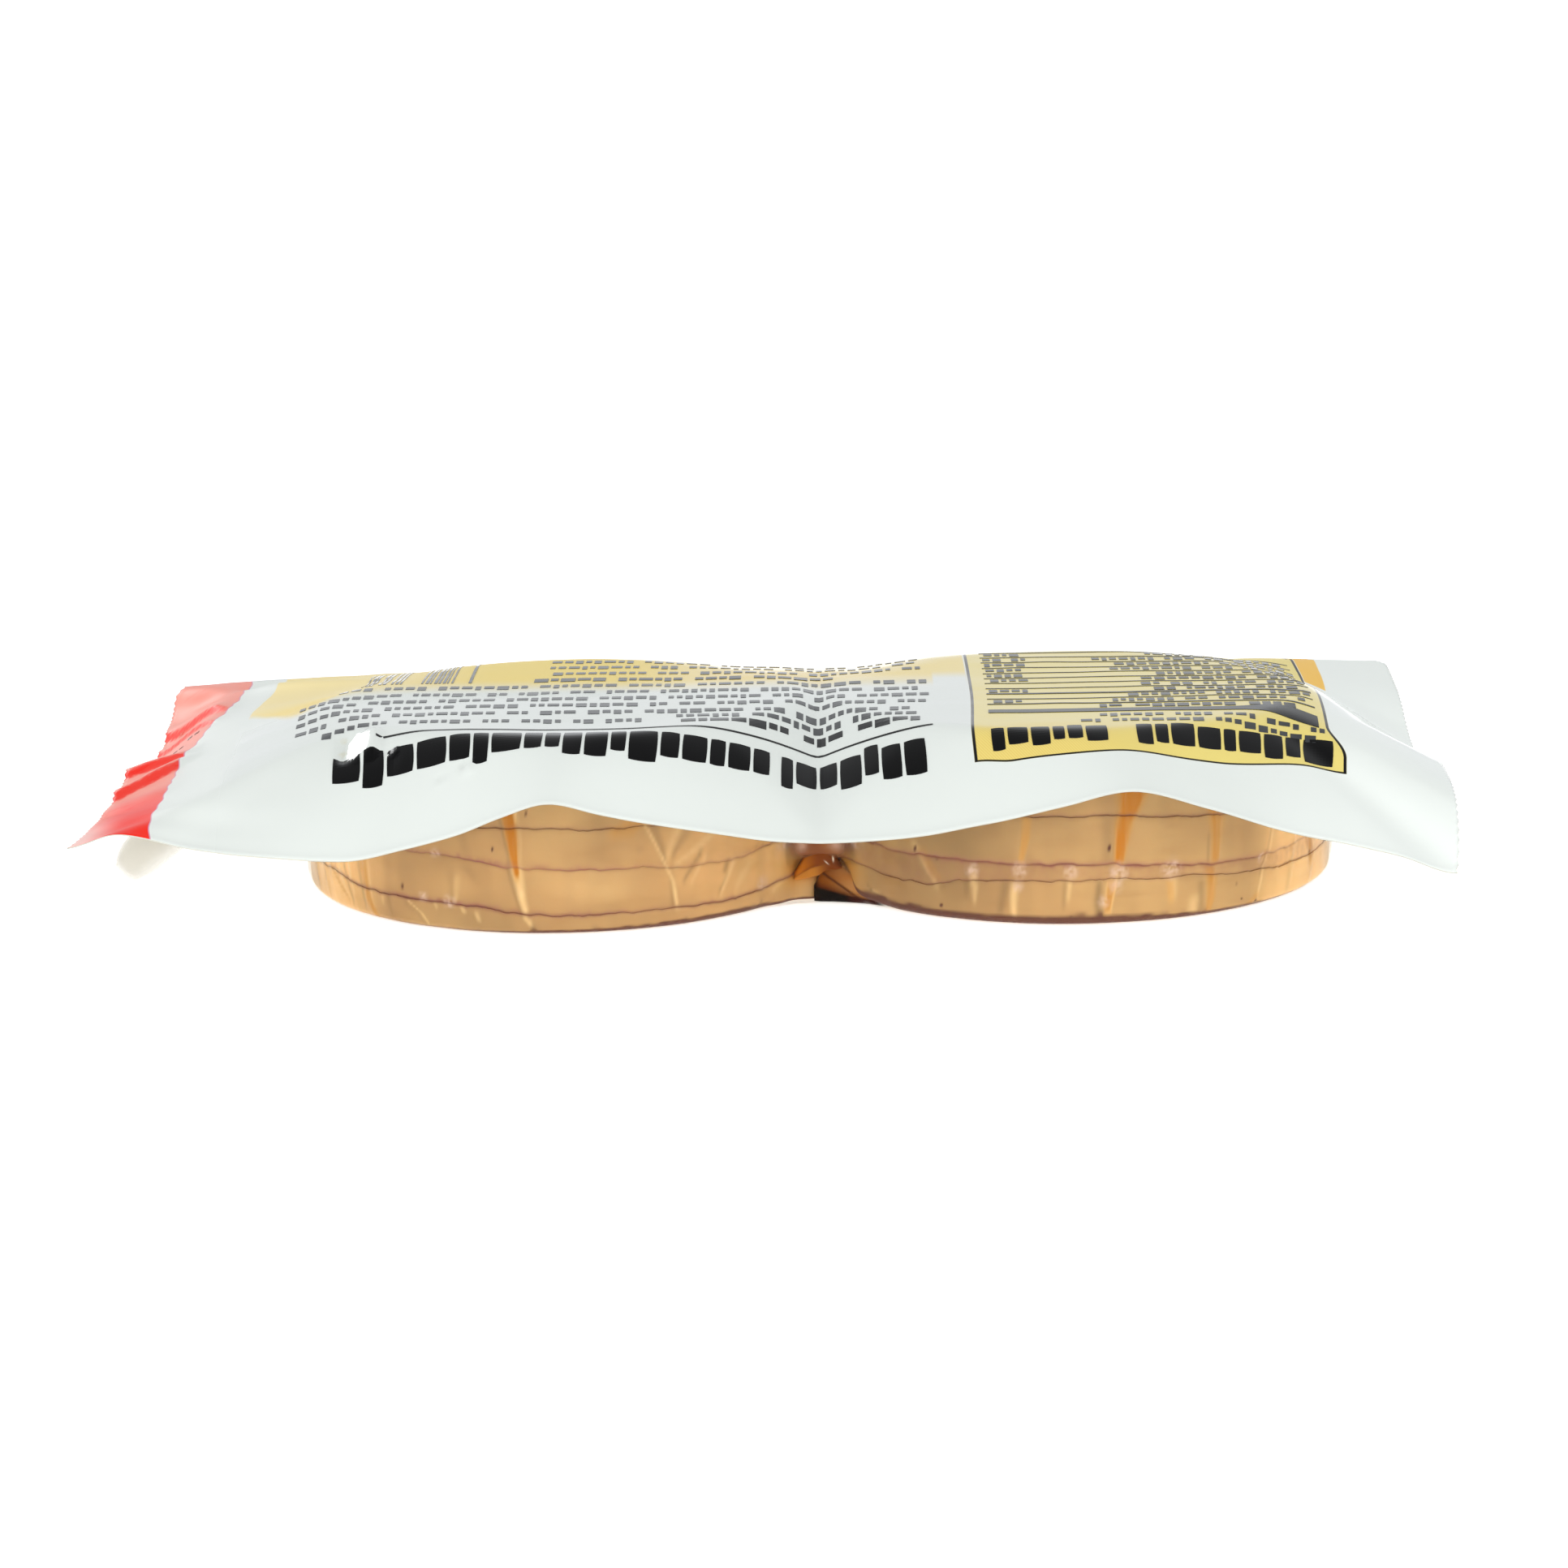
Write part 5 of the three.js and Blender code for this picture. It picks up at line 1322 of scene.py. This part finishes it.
def pocket():
    e = 1.15
    top = look_up(BASE, PX, PY) + wrinkles(PX, PY) - LID - 0.03
    rows_in, rows_out = [], []

    def add(x, y, z, nx, ny, nz):
        """One ring of the inner skin, and of the outer one a film's thickness away."""
        rows_in.append(np.stack([x, y, z], -1))
        rows_out.append(np.stack([x + nx * CLEAR, y + ny * CLEAR, z + nz * CLEAR], -1))

    fx, fy = np.clip(PX, STACK["left"], STACK["right"]), 0 * PY
    zero, one = 0 * PX, 0 * PX + 1
    d0 = wall(zero + 1.6)
    rx, ry = PX + NX * (d0 - e), PY + NY * (d0 - e)
    for t in (0.0, 0.3, 0.6, 0.8, 0.92, 0.98):
        x, y = mix(fx, rx, t), mix(fy, ry, t)
        rise = 0.05 + 0.05 * noise2(x / 5, y / 4, 12) + 0.05 * noise2(x / 2, y / 2, 13)
        rise = rise * smooth(0.0, 0.25, t * one)
        add(x, y, CLEAR + rise, zero, zero, -one)
    for i in range(1, 6):
        a = i / 5 * math.pi / 2
        z = CLEAR + 0.08 + e * (1 - math.cos(a))
        d = wall(z + zero)
        r = d - e + e * math.sin(a)
        add(PX + NX * r, PY + NY * r, z + zero, NX * math.sin(a), NY * math.sin(a), -math.cos(a) * one)
    z0 = CLEAR + 0.08 + e
    levels = 34
    for i in range(1, levels + 1):
        z = mix(z0, top - 0.5, i / levels)
        d = wall(z)
        add(PX + NX * d, PY + NY * d, z, NX, NY, zero)
    # over the bend into the flange, and out to the cut edge
    d = wall(top - 0.5)
    x, y = PX + NX * (d + 0.15), PY + NY * (d + 0.15)
    add(x, y, np.minimum(top - 0.2, look_up(BASE, x, y) + wrinkles(x, y) - LID - 0.12), NX * 0.7, NY * 0.7, -0.7 * one)
    steps = 11
    for i in range(1, steps + 1):
        t = i / steps
        bx = np.clip(mix(x, BX, t), END_L + (2.6 if t == 1 else 1.2) * smooth(0.8, 1, t), END_R - 0.35)
        by = np.clip(mix(y, BY, t), -HALF_W + 0.12, HALF_W - 0.25)
        # the near left corner is cut back: a tongue of it hangs free, as a piece of its own
        cut = smooth(0.75, 1.7, -(bx + 76) / 11 - (by + 37) / 12) * smooth(0.5, 0.9, t)
        bx, by = bx + 3.0 * cut, by + 3.0 * cut
        z = look_up(BASE, bx, by) + wrinkles(bx, by) - LID - 0.03
        z = z - 0.10 * (0.5 + 0.5 * noise2(bx / 3.0, by / 3.0, 21)) * math.sin(math.pi * t)
        add(bx, by, z, zero, zero, -one)
    R = len(rows_in)
    P = np.vstack(rows_in + rows_out)
    n = R * NCOL
    quads = [grid_faces(R, NCOL, 0, True, flip=True), grid_faces(R, NCOL, n, True)]
    last = (R - 1) * NCOL + np.arange(NCOL)
    nxt = np.concatenate([last[1:], last[:1]])
    quads.append(np.stack([last, nxt, nxt + n, last + n], -1))
    q = np.vstack(quads)
    print("pocket: columns", NCOL, "rings", R, "faces", len(q) * 2)
    return make("clear_pocket", P, q)


def clear_material():
    m = Net("clear_film")
    place = m.place()
    lw = m.node("ShaderNodeLayerWeight")
    lw.inputs["Blend"].default_value = 0.5
    bump = m.node("ShaderNodeBump")
    bump.inputs["Strength"].default_value = 0.30
    bump.inputs["Distance"].default_value = 0.0004
    m.put(bump.inputs["Height"], m.noise(place, 420.0, 3.0, 0.55) + 0.8 * m.noise(place, 120.0, 2.0))
    m.put(lw.inputs["Normal"], bump.outputs[0])
    facing = Value(m, lw.outputs["Facing"])
    shine = 0.004 + 0.30 * facing.power(5.0)
    clear_ = m.node("ShaderNodeBsdfTransparent")
    clear_.inputs["Color"].default_value = (0.990, 0.980, 0.955, 1)
    gloss = m.node("ShaderNodeBsdfGlossy")
    gloss.inputs["Color"].default_value = (1, 0.97, 0.92, 1)
    gloss.inputs["Roughness"].default_value = 0.10
    m.put(gloss.inputs["Normal"], bump.outputs[0])
    mixer = m.node("ShaderNodeMixShader")
    m.put(mixer.inputs[0], shine)
    m.put(mixer.inputs[1], clear_.outputs[0])
    m.put(mixer.inputs[2], gloss.outputs[0])
    m.put(m.out.inputs["Surface"], mixer.outputs[0])
    return m.material


pocket_piece = pocket()
clear = clear_material()
pocket_piece.data.materials.append(clear)
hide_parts("formed_film")


# ---------------------------------------------------------------- the loose near left corner of the clear film
def tongue():
    rows, cols = 33, 25
    root, tip = np.array([-80.2, -41.6, 16.6]), np.array([-87.4, -40.4, 9.8])
    across = np.array([0.62, 0.10, -0.78])
    s = np.linspace(0, 1, rows)[:, None]
    t = np.linspace(-1, 1, cols)[None, :]
    # a rounded outline
    half = 3.4 * np.sqrt(np.clip(1 - np.clip((s - 0.45) / 0.55, 0, 1) ** 2.4, 0.0004, 1)) * mix(1.25, 1.0, s)
    P = (root[None, None] + (tip - root)[None, None] * s[..., None] + across[None, None] * (t * half)[..., None]
         + np.array([0.5, -0.75, 0.2])[None, None] * (0.7 * (1 - t ** 2) * s * (1.2 - s) + 0.12 * np.sin(t * 4 + s * 3))[..., None])
    P = P.reshape(-1, 3)
    P[:, 2] = np.minimum(P[:, 2], look_up(BASE, P[:, 0], P[:, 1]) + wrinkles(P[:, 0], P[:, 1]) - LID - 0.1)
    Q = P + np.array([-0.04, 0.10, -0.03])
    n = rows * cols
    f0 = grid_faces(rows, cols, 0)
    f1 = grid_faces(rows, cols, n, flip=True)
    loop = np.concatenate([np.arange(cols), np.arange(1, rows) * cols + cols - 1,
                           (rows - 1) * cols + np.arange(cols - 2, -1, -1), np.arange(rows - 2, 0, -1) * cols])
    nx_ = np.roll(loop, -1)
    side_ = np.stack([loop, loop + n, nx_ + n, nx_], -1)
    edge = np.minimum((1 - np.abs(t)) * half, (1 - s) * 6.0)
    inner = smooth(0.0, 1.5, edge)
    A = np.stack([inner + 0 * t, s + 0 * t, t + 0 * s], -1).reshape(-1, 3)
    return make("loose_corner", np.vstack([P, Q]), np.vstack([f0, f1, side_]), attrs={"tongue": np.vstack([A, A])})


def tongue_material():
    m = Net("cloudy_film")
    vec, inner, s, t = m.attribute("tongue")
    place = m.place()
    n = m.noise(place, 90.0, 2.0)
    solid = (inner * (0.80 - 0.55 * m.ramp(t, -0.1, 1.0)) * (0.85 + 0.3 * n)).clamped()
    clear_ = m.node("ShaderNodeBsdfTransparent")
    milk = m.node("ShaderNodeBsdfDiffuse")
    milk.inputs["Color"].default_value = rgb(206, 201, 188)
    mixer = m.node("ShaderNodeMixShader")
    m.put(mixer.inputs[0], solid * 0.95)
    m.put(mixer.inputs[1], clear_.outputs[0])
    m.put(mixer.inputs[2], milk.outputs[0])
    m.put(m.out.inputs["Surface"], mixer.outputs[0])
    return m.material


tongue_piece = tongue()
tongue_piece.data.materials.append(tongue_material())


# ---------------------------------------------------------------- juice, and painted shade, between the stacks
def web_y(x, inset):
    """How far out the web's film lies at x, less an inset, for x within the gap."""
    return WEB_CENTRE - np.sqrt(np.maximum((WEB_RADIUS + inset) ** 2 - (x - MID) ** 2, 0))


def pool(name, ys, x0, x1, tops, inset, depth, cols=49, levels=20, dome=None):
    """A body of juice against the web's film, from the floor up to a height given along X."""
    x = np.linspace(x0, x1, cols)
    reach = WEB_RADIUS * math.sin(math.pi / 2 - TOUCH)
    inner_x = np.clip(x, MID - reach, MID + reach)
    tx = (x - x0) / (x1 - x0)
    h = np.interp(tx, *zip(*tops))
    foot = np.full(cols, 0.14) if dome is None else np.interp(tx, *zip(*dome))
    front, back, A = [], [], []
    for i in range(levels):
        t = i / (levels - 1)
        z = mix(foot, np.maximum(h, foot + 0.05), t)
        round_ = 0.5 * (t ** 6) + 0.25 * ((1 - t) ** 8) + 0.6 * (np.abs(2 * tx - 1) ** 8)
        # beyond the web the film follows the stack's side
        off = web_y(inner_x, inset)
        cx = np.where(x > MID, STACK["right"], STACK["left"])
        lobe_y = np.sqrt(np.maximum((POCKET_R - inset) ** 2 - (x - cx) ** 2, 0))
        off = np.where(np.abs(x - MID) > reach, lobe_y, off)
        off = off - round_ + 0.06 * noise2(x * 0.9, z * 0.8, 40)
        front.append(np.stack([x, ys * off, z], -1))
        back.append(np.stack([x, ys * (off - depth), z], -1))
        A.append(np.stack([2 * tx - 1, z, t + 0 * x], -1))
    V = np.vstack(front + back)
    n = levels * cols
    flip = ys > 0
    Q = [grid_faces(levels, cols, 0, flip=flip), grid_faces(levels, cols, n, flip=not flip)]
    loop = np.concatenate([np.arange(cols), np.arange(1, levels) * cols + cols - 1,
                           (levels - 1) * cols + np.arange(cols - 2, -1, -1), np.arange(levels - 2, 0, -1) * cols])
    nx_ = np.roll(loop, -1)
    s_ = np.stack([loop, loop + n, nx_ + n, nx_], -1)
    Q.append(s_ if not flip else s_[:, ::-1])
    return make(name, V, np.vstack(Q), attrs={"pool": np.vstack(A + A)})


def juice_and_painted_shade_material():
    """Juice pooled at the foot of the web, amber above, with painted shade where the gap lies in shadow: nearly black
    at the floor.
    """
    m = Net("juice_and_painted_shade")
    vec, t, z, up = m.attribute("pool")
    n = m.noise(m.place(), 260.0, 3.0)
    x = (t + 1.0) * 5.2 - 0.9                    # from the middle of the gap
    c = m.mix_colour(m.ramp(x + 0.8 * n, 1.0, 5.5), rgb(136, 74, 18), rgb(190, 134, 78))
    smudge_x, smudge_z = (x - 4.1) / 1.6, (z - 3.8) / 0.7
    smudge = m.math("EXPONENT", (smudge_x * smudge_x + smudge_z * smudge_z) * -1.0)
    c = m.mix_colour(smudge * 0.55, c, rgb(168, 96, 30))
    # painted shade along a dark fold running down to the right, at the right slice's edge
    fold = ((z - (4.55 - 0.72 * x) + 0.2 * (n - 0.5)) / 0.26)
    fold = m.math("EXPONENT", fold * fold * -1.0)
    c = m.mix_colour(fold * 0.85, c, rgb(58, 20, 6))
    # painted shade: darker towards the floor, then nearly black, dark along the floor on the right and nearly black at
    # the gap's left edge
    shade = 1.0 - m.ramp(z + 0.30 * x + 0.5 * (n - 0.5), 2.3, 3.5)
    c = m.mix_colour(shade * 0.75, c, rgb(84, 34, 8))
    black = 1.0 - m.ramp(z + 0.27 * x + 0.3 * (n - 0.5), 1.9, 2.5)
    c = m.mix_colour(black, c, rgb(8, 1, 0))
    foot = (1.0 - m.ramp(z + 0.3 * (n - 0.5), 0.7, 1.3)) * m.ramp(x, 3.0, 5.0)
    c = m.mix_colour(foot, c, rgb(58, 20, 16))
    left_ = 1.0 - m.ramp(t + 0.1 * (n - 0.5), -0.97, -0.80)
    c = m.mix_colour(left_ * 0.9 * (1.0 - m.ramp(z, 3.2, 4.4)), c, rgb(20, 5, 1))
    p = m.node("ShaderNodeBsdfPrincipled")
    m.put(p.inputs["Base Color"], c)
    p.inputs["Roughness"].default_value = 0.35
    p.inputs["Specular IOR Level"].default_value = 0.03
    # towards the slices it thins out to nothing
    thin = (m.ramp(up, 0.62, 0.98) * m.ramp(t, -0.45, 0.0)).max(m.ramp(t, 0.55, 0.98))
    m.put(p.inputs["Alpha"], 1.0 - thin)
    m.put(m.out.inputs["Surface"], p.outputs[0])
    return m.material


def arch_material():
    m = Net("amber_juice_and_painted_glints")
    vec, t, z, up = m.attribute("pool")
    n = m.noise(m.stretch(m.place(), 1.0, 1.0, 0.5), 420.0, 3.0)
    band = m.mix_colour(m.ramp(t + 0.3 * (n - 0.5), -0.75, 0.05), rgb(190, 106, 14), rgb(132, 62, 4))
    band = m.mix_colour(m.ramp(t, 0.30, 0.90), band, rgb(104, 44, 4))
    rim_ = m.ramp(up + 0.2 * (n - 0.5), 0.82, 1.0).max(m.ramp(t.abs(), 0.88, 1.0) * 0.6)
    band = m.mix_colour(rim_ * 0.7, band, rgb(96, 38, 4))
    low = m.mix_colour(m.ramp(t, -0.3, 0.5), rgb(196, 124, 44), rgb(120, 56, 8))
    c = m.mix_colour(m.ramp(up + 0.10 * (n - 0.5), 0.30, 0.42), low, band)
    line = (up - 0.38 + 0.08 * (n - 0.5)) / 0.045
    c = m.mix_colour(m.math("EXPONENT", line * line * -1.0) * 0.6, c, rgb(104, 46, 6))
    # two small painted highlights, as glints on the juice
    for at, high, wide, tall in ((0.64, 6.45, 0.035, 0.34), (0.36, 5.95, 0.08, 0.09)):
        a, b = (t - at) / wide, (z - high - (t - at) * -3.0) / tall
        c = m.mix_colour(m.math("EXPONENT", (a * a + b * b) * -1.0), c, rgb(255, 240, 214))
    p = m.node("ShaderNodeBsdfPrincipled")
    m.put(p.inputs["Base Color"], c)
    p.inputs["Roughness"].default_value = 0.2
    p.inputs["Specular IOR Level"].default_value = 0.06
    m.put(m.out.inputs["Surface"], p.outputs[0])
    return m.material


def froth_material():
    m = Net("pale_froth")
    vec, t, z, up = m.attribute("pool")
    place = m.place()
    n = m.noise(place, 260.0, 3.0)
    fine = m.noise(place, 1400.0, 3.0, 0.6)
    c = m.mix_colour(m.ramp(n, 0.35, 0.65), rgb(170, 108, 62), rgb(140, 80, 46))
    spots = None
    for at, high, wide in ((-0.50, 8.4, 0.15), (0.48, 8.5, 0.20)):
        p_, q_ = (t - at) / wide, (z - high) / 0.8
        d = p_ * p_ + q_ * q_
        one = m.math("EXPONENT", d * -1.0)
        spots = one if spots is None else spots.max(one)
    c = m.mix_colour((spots * (0.5 + fine)).clamped() * 0.85, c, rgb(214, 172, 152))
    p = m.node("ShaderNodeBsdfPrincipled")
    m.put(p.inputs["Base Color"], c)
    p.inputs["Roughness"].default_value = 0.4
    p.inputs["Specular IOR Level"].default_value = 0.1
    # it thins out to nothing at its edges
    thick = (1.0 - m.ramp(t.abs() + 0.3 * (n - 0.5), 0.35, 0.98)) * m.ramp(z + 1.2 * (n - 0.5), 6.3, 7.6)
    m.put(p.inputs["Alpha"], thick)
    m.put(m.out.inputs["Surface"], p.outputs[0])
    return m.material


dark_ = juice_and_painted_shade_material()
froth_ = froth_material()
arch_ = arch_material()
for ys, where in ((-1, "near"), (1, "far")):
    o = pool("gap_juice_and_painted_shade_" + where, ys, MID - 0.9, MID + 9.5, [(0, 2.3), (0.04, 3.0), (0.09, 4.1), (0.18, 5.5), (0.32, 6.1), (0.44, 5.8), (0.55, 5.0), (0.7, 4.2), (0.85, 3.0), (1, 0.8)], 1.15, 1.3)
    o.data.materials.append(dark_)
    o = pool("gap_arch_" + where, ys, MID - 3.6, MID + 3.0, [(0, 4.5), (0.08, 5.4), (0.21, 6.8), (0.36, 7.7), (0.56, 8.0), (0.73, 7.75), (0.86, 7.0), (0.95, 6.0), (1, 5.5)], 0.50, 1.2, cols=49, levels=24,
             dome=[(0, 3.5), (0.25, 3.7), (0.52, 4.1), (0.68, 4.8), (1, 5.0)])
    o.data.materials.append(arch_)
    o = pool("gap_froth_" + where, ys, MID - 5.2, MID + 5.2, [(0, 9.5), (0.5, 10.6), (1, 9.5)], 0.55, 2.4, cols=33, levels=14,
             dome=[(0, 5.5), (0.3, 6.4), (0.5, 6.6), (0.7, 6.4), (1, 5.5)])
    o.data.materials.append(froth_)


# ---------------------------------------------------------------- floor, light and camera
def stage():
    n = 40
    size = 9.0
    g = np.linspace(-size, size, n)
    X, Y = np.meshgrid(g, g)
    me = bpy.data.meshes.new("floor")
    P = np.stack([X, Y, 0 * X - 0.00002], -1).reshape(-1, 3)
    me.from_pydata(P.tolist(), [], grid_faces(n, n).tolist())
    o = bpy.data.objects.new("floor", me)
    bpy.context.scene.collection.objects.link(o)
    m = Net("floor")
    p = m.node("ShaderNodeBsdfPrincipled")
    p.inputs["Base Color"].default_value = (0.86, 0.86, 0.86, 1)
    p.inputs["Roughness"].default_value = 0.85
    p.inputs["Specular IOR Level"].default_value = 0.0
    p.inputs["Emission Color"].default_value = (1, 1, 1, 1)
    p.inputs["Emission Strength"].default_value = FLOOR_GLOW
    m.put(m.out.inputs["Surface"], p.outputs[0])
    me.materials.append(m.material)


FLOOR_GLOW = 0.75
stage()

world = bpy.data.worlds.new("studio")
bpy.context.scene.world = world
world.use_nodes = True
wt = world.node_tree
wt.nodes.clear()
w_out = wt.nodes.new("ShaderNodeOutputWorld")
w_bg = wt.nodes.new("ShaderNodeBackground")
w_ramp = wt.nodes.new("ShaderNodeValToRGB")
w_sep = wt.nodes.new("ShaderNodeSeparateXYZ")
w_tc = wt.nodes.new("ShaderNodeTexCoord")
wt.links.new(w_tc.outputs["Generated"], w_sep.inputs[0])
wt.links.new(w_sep.outputs[2], w_ramp.inputs[0])
wt.links.new(w_ramp.outputs[0], w_bg.inputs[0])
wt.links.new(w_bg.outputs[0], w_out.inputs[0])
w_ramp.color_ramp.elements[0].position = 0.0
w_ramp.color_ramp.elements[0].color = (0.95, 0.97, 1.0, 1)
w_ramp.color_ramp.elements[1].position = 1.0
w_ramp.color_ramp.elements[1].color = (0.32, 0.32, 0.32, 1)
mid_ = w_ramp.color_ramp.elements.new(0.45)
mid_.color = (0.80, 0.82, 0.84, 1)
w_bg.inputs[1].default_value = 0.95


def area(name, place, aim, size, power, colour=(1, 1, 1)):
    d = bpy.data.lights.new(name, "AREA")
    d.shape = "RECTANGLE"
    d.size, d.size_y = size
    d.energy = power
    d.color = colour
    o = bpy.data.objects.new(name, d)
    bpy.context.scene.collection.objects.link(o)
    o.location = place
    way = Vector(aim) - Vector(place)
    o.rotation_euler = way.to_track_quat("-Z", "Y").to_euler()
    return o


area("front_light", (0.05, -1.3, 0.95), (0, 0, 0.01), (2.2, 1.0), 12.2, (1.0, 0.995, 0.975))
area("spot_light", (-0.654, 0.856, 0.572), (-0.0555, -0.0286, 0.0251), (0.20, 0.17), 2.2)


# ---------------------------------------------------------------- camera
def camera():
    e, yaw, roll = math.radians(13.0), math.radians(0.6), math.radians(1.15)
    dist, target = 673.0, np.array([0.0, 0.0, 12.0])
    fwd = np.array([-math.sin(yaw) * math.cos(e), math.cos(yaw) * math.cos(e), -math.sin(e)])
    right = np.array([math.cos(yaw), math.sin(yaw), 0.0])
    up = np.cross(right, fwd)
    r = math.cos(roll) * right - math.sin(roll) * up
    u = math.sin(roll) * right + math.cos(roll) * up
    place = (target - fwd * dist + np.array([2.05, 0, 0])) / 1000
    d = bpy.data.cameras.new("camera")
    d.sensor_width = 36.0
    d.sensor_fit = "HORIZONTAL"
    d.lens = 5813.0 / 1932.0 * 36.0
    d.clip_start, d.clip_end = 0.01, 30.0
    o = bpy.data.objects.new("camera", d)
    bpy.context.scene.collection.objects.link(o)
    m = Matrix.Identity(4)
    for i in range(3):
        m[i][0], m[i][1], m[i][2], m[i][3] = r[i], u[i], -fwd[i], place[i]
    o.matrix_world = m
    bpy.context.scene.camera = o


camera()
bpy.context.scene.view_settings.view_transform = "Standard"
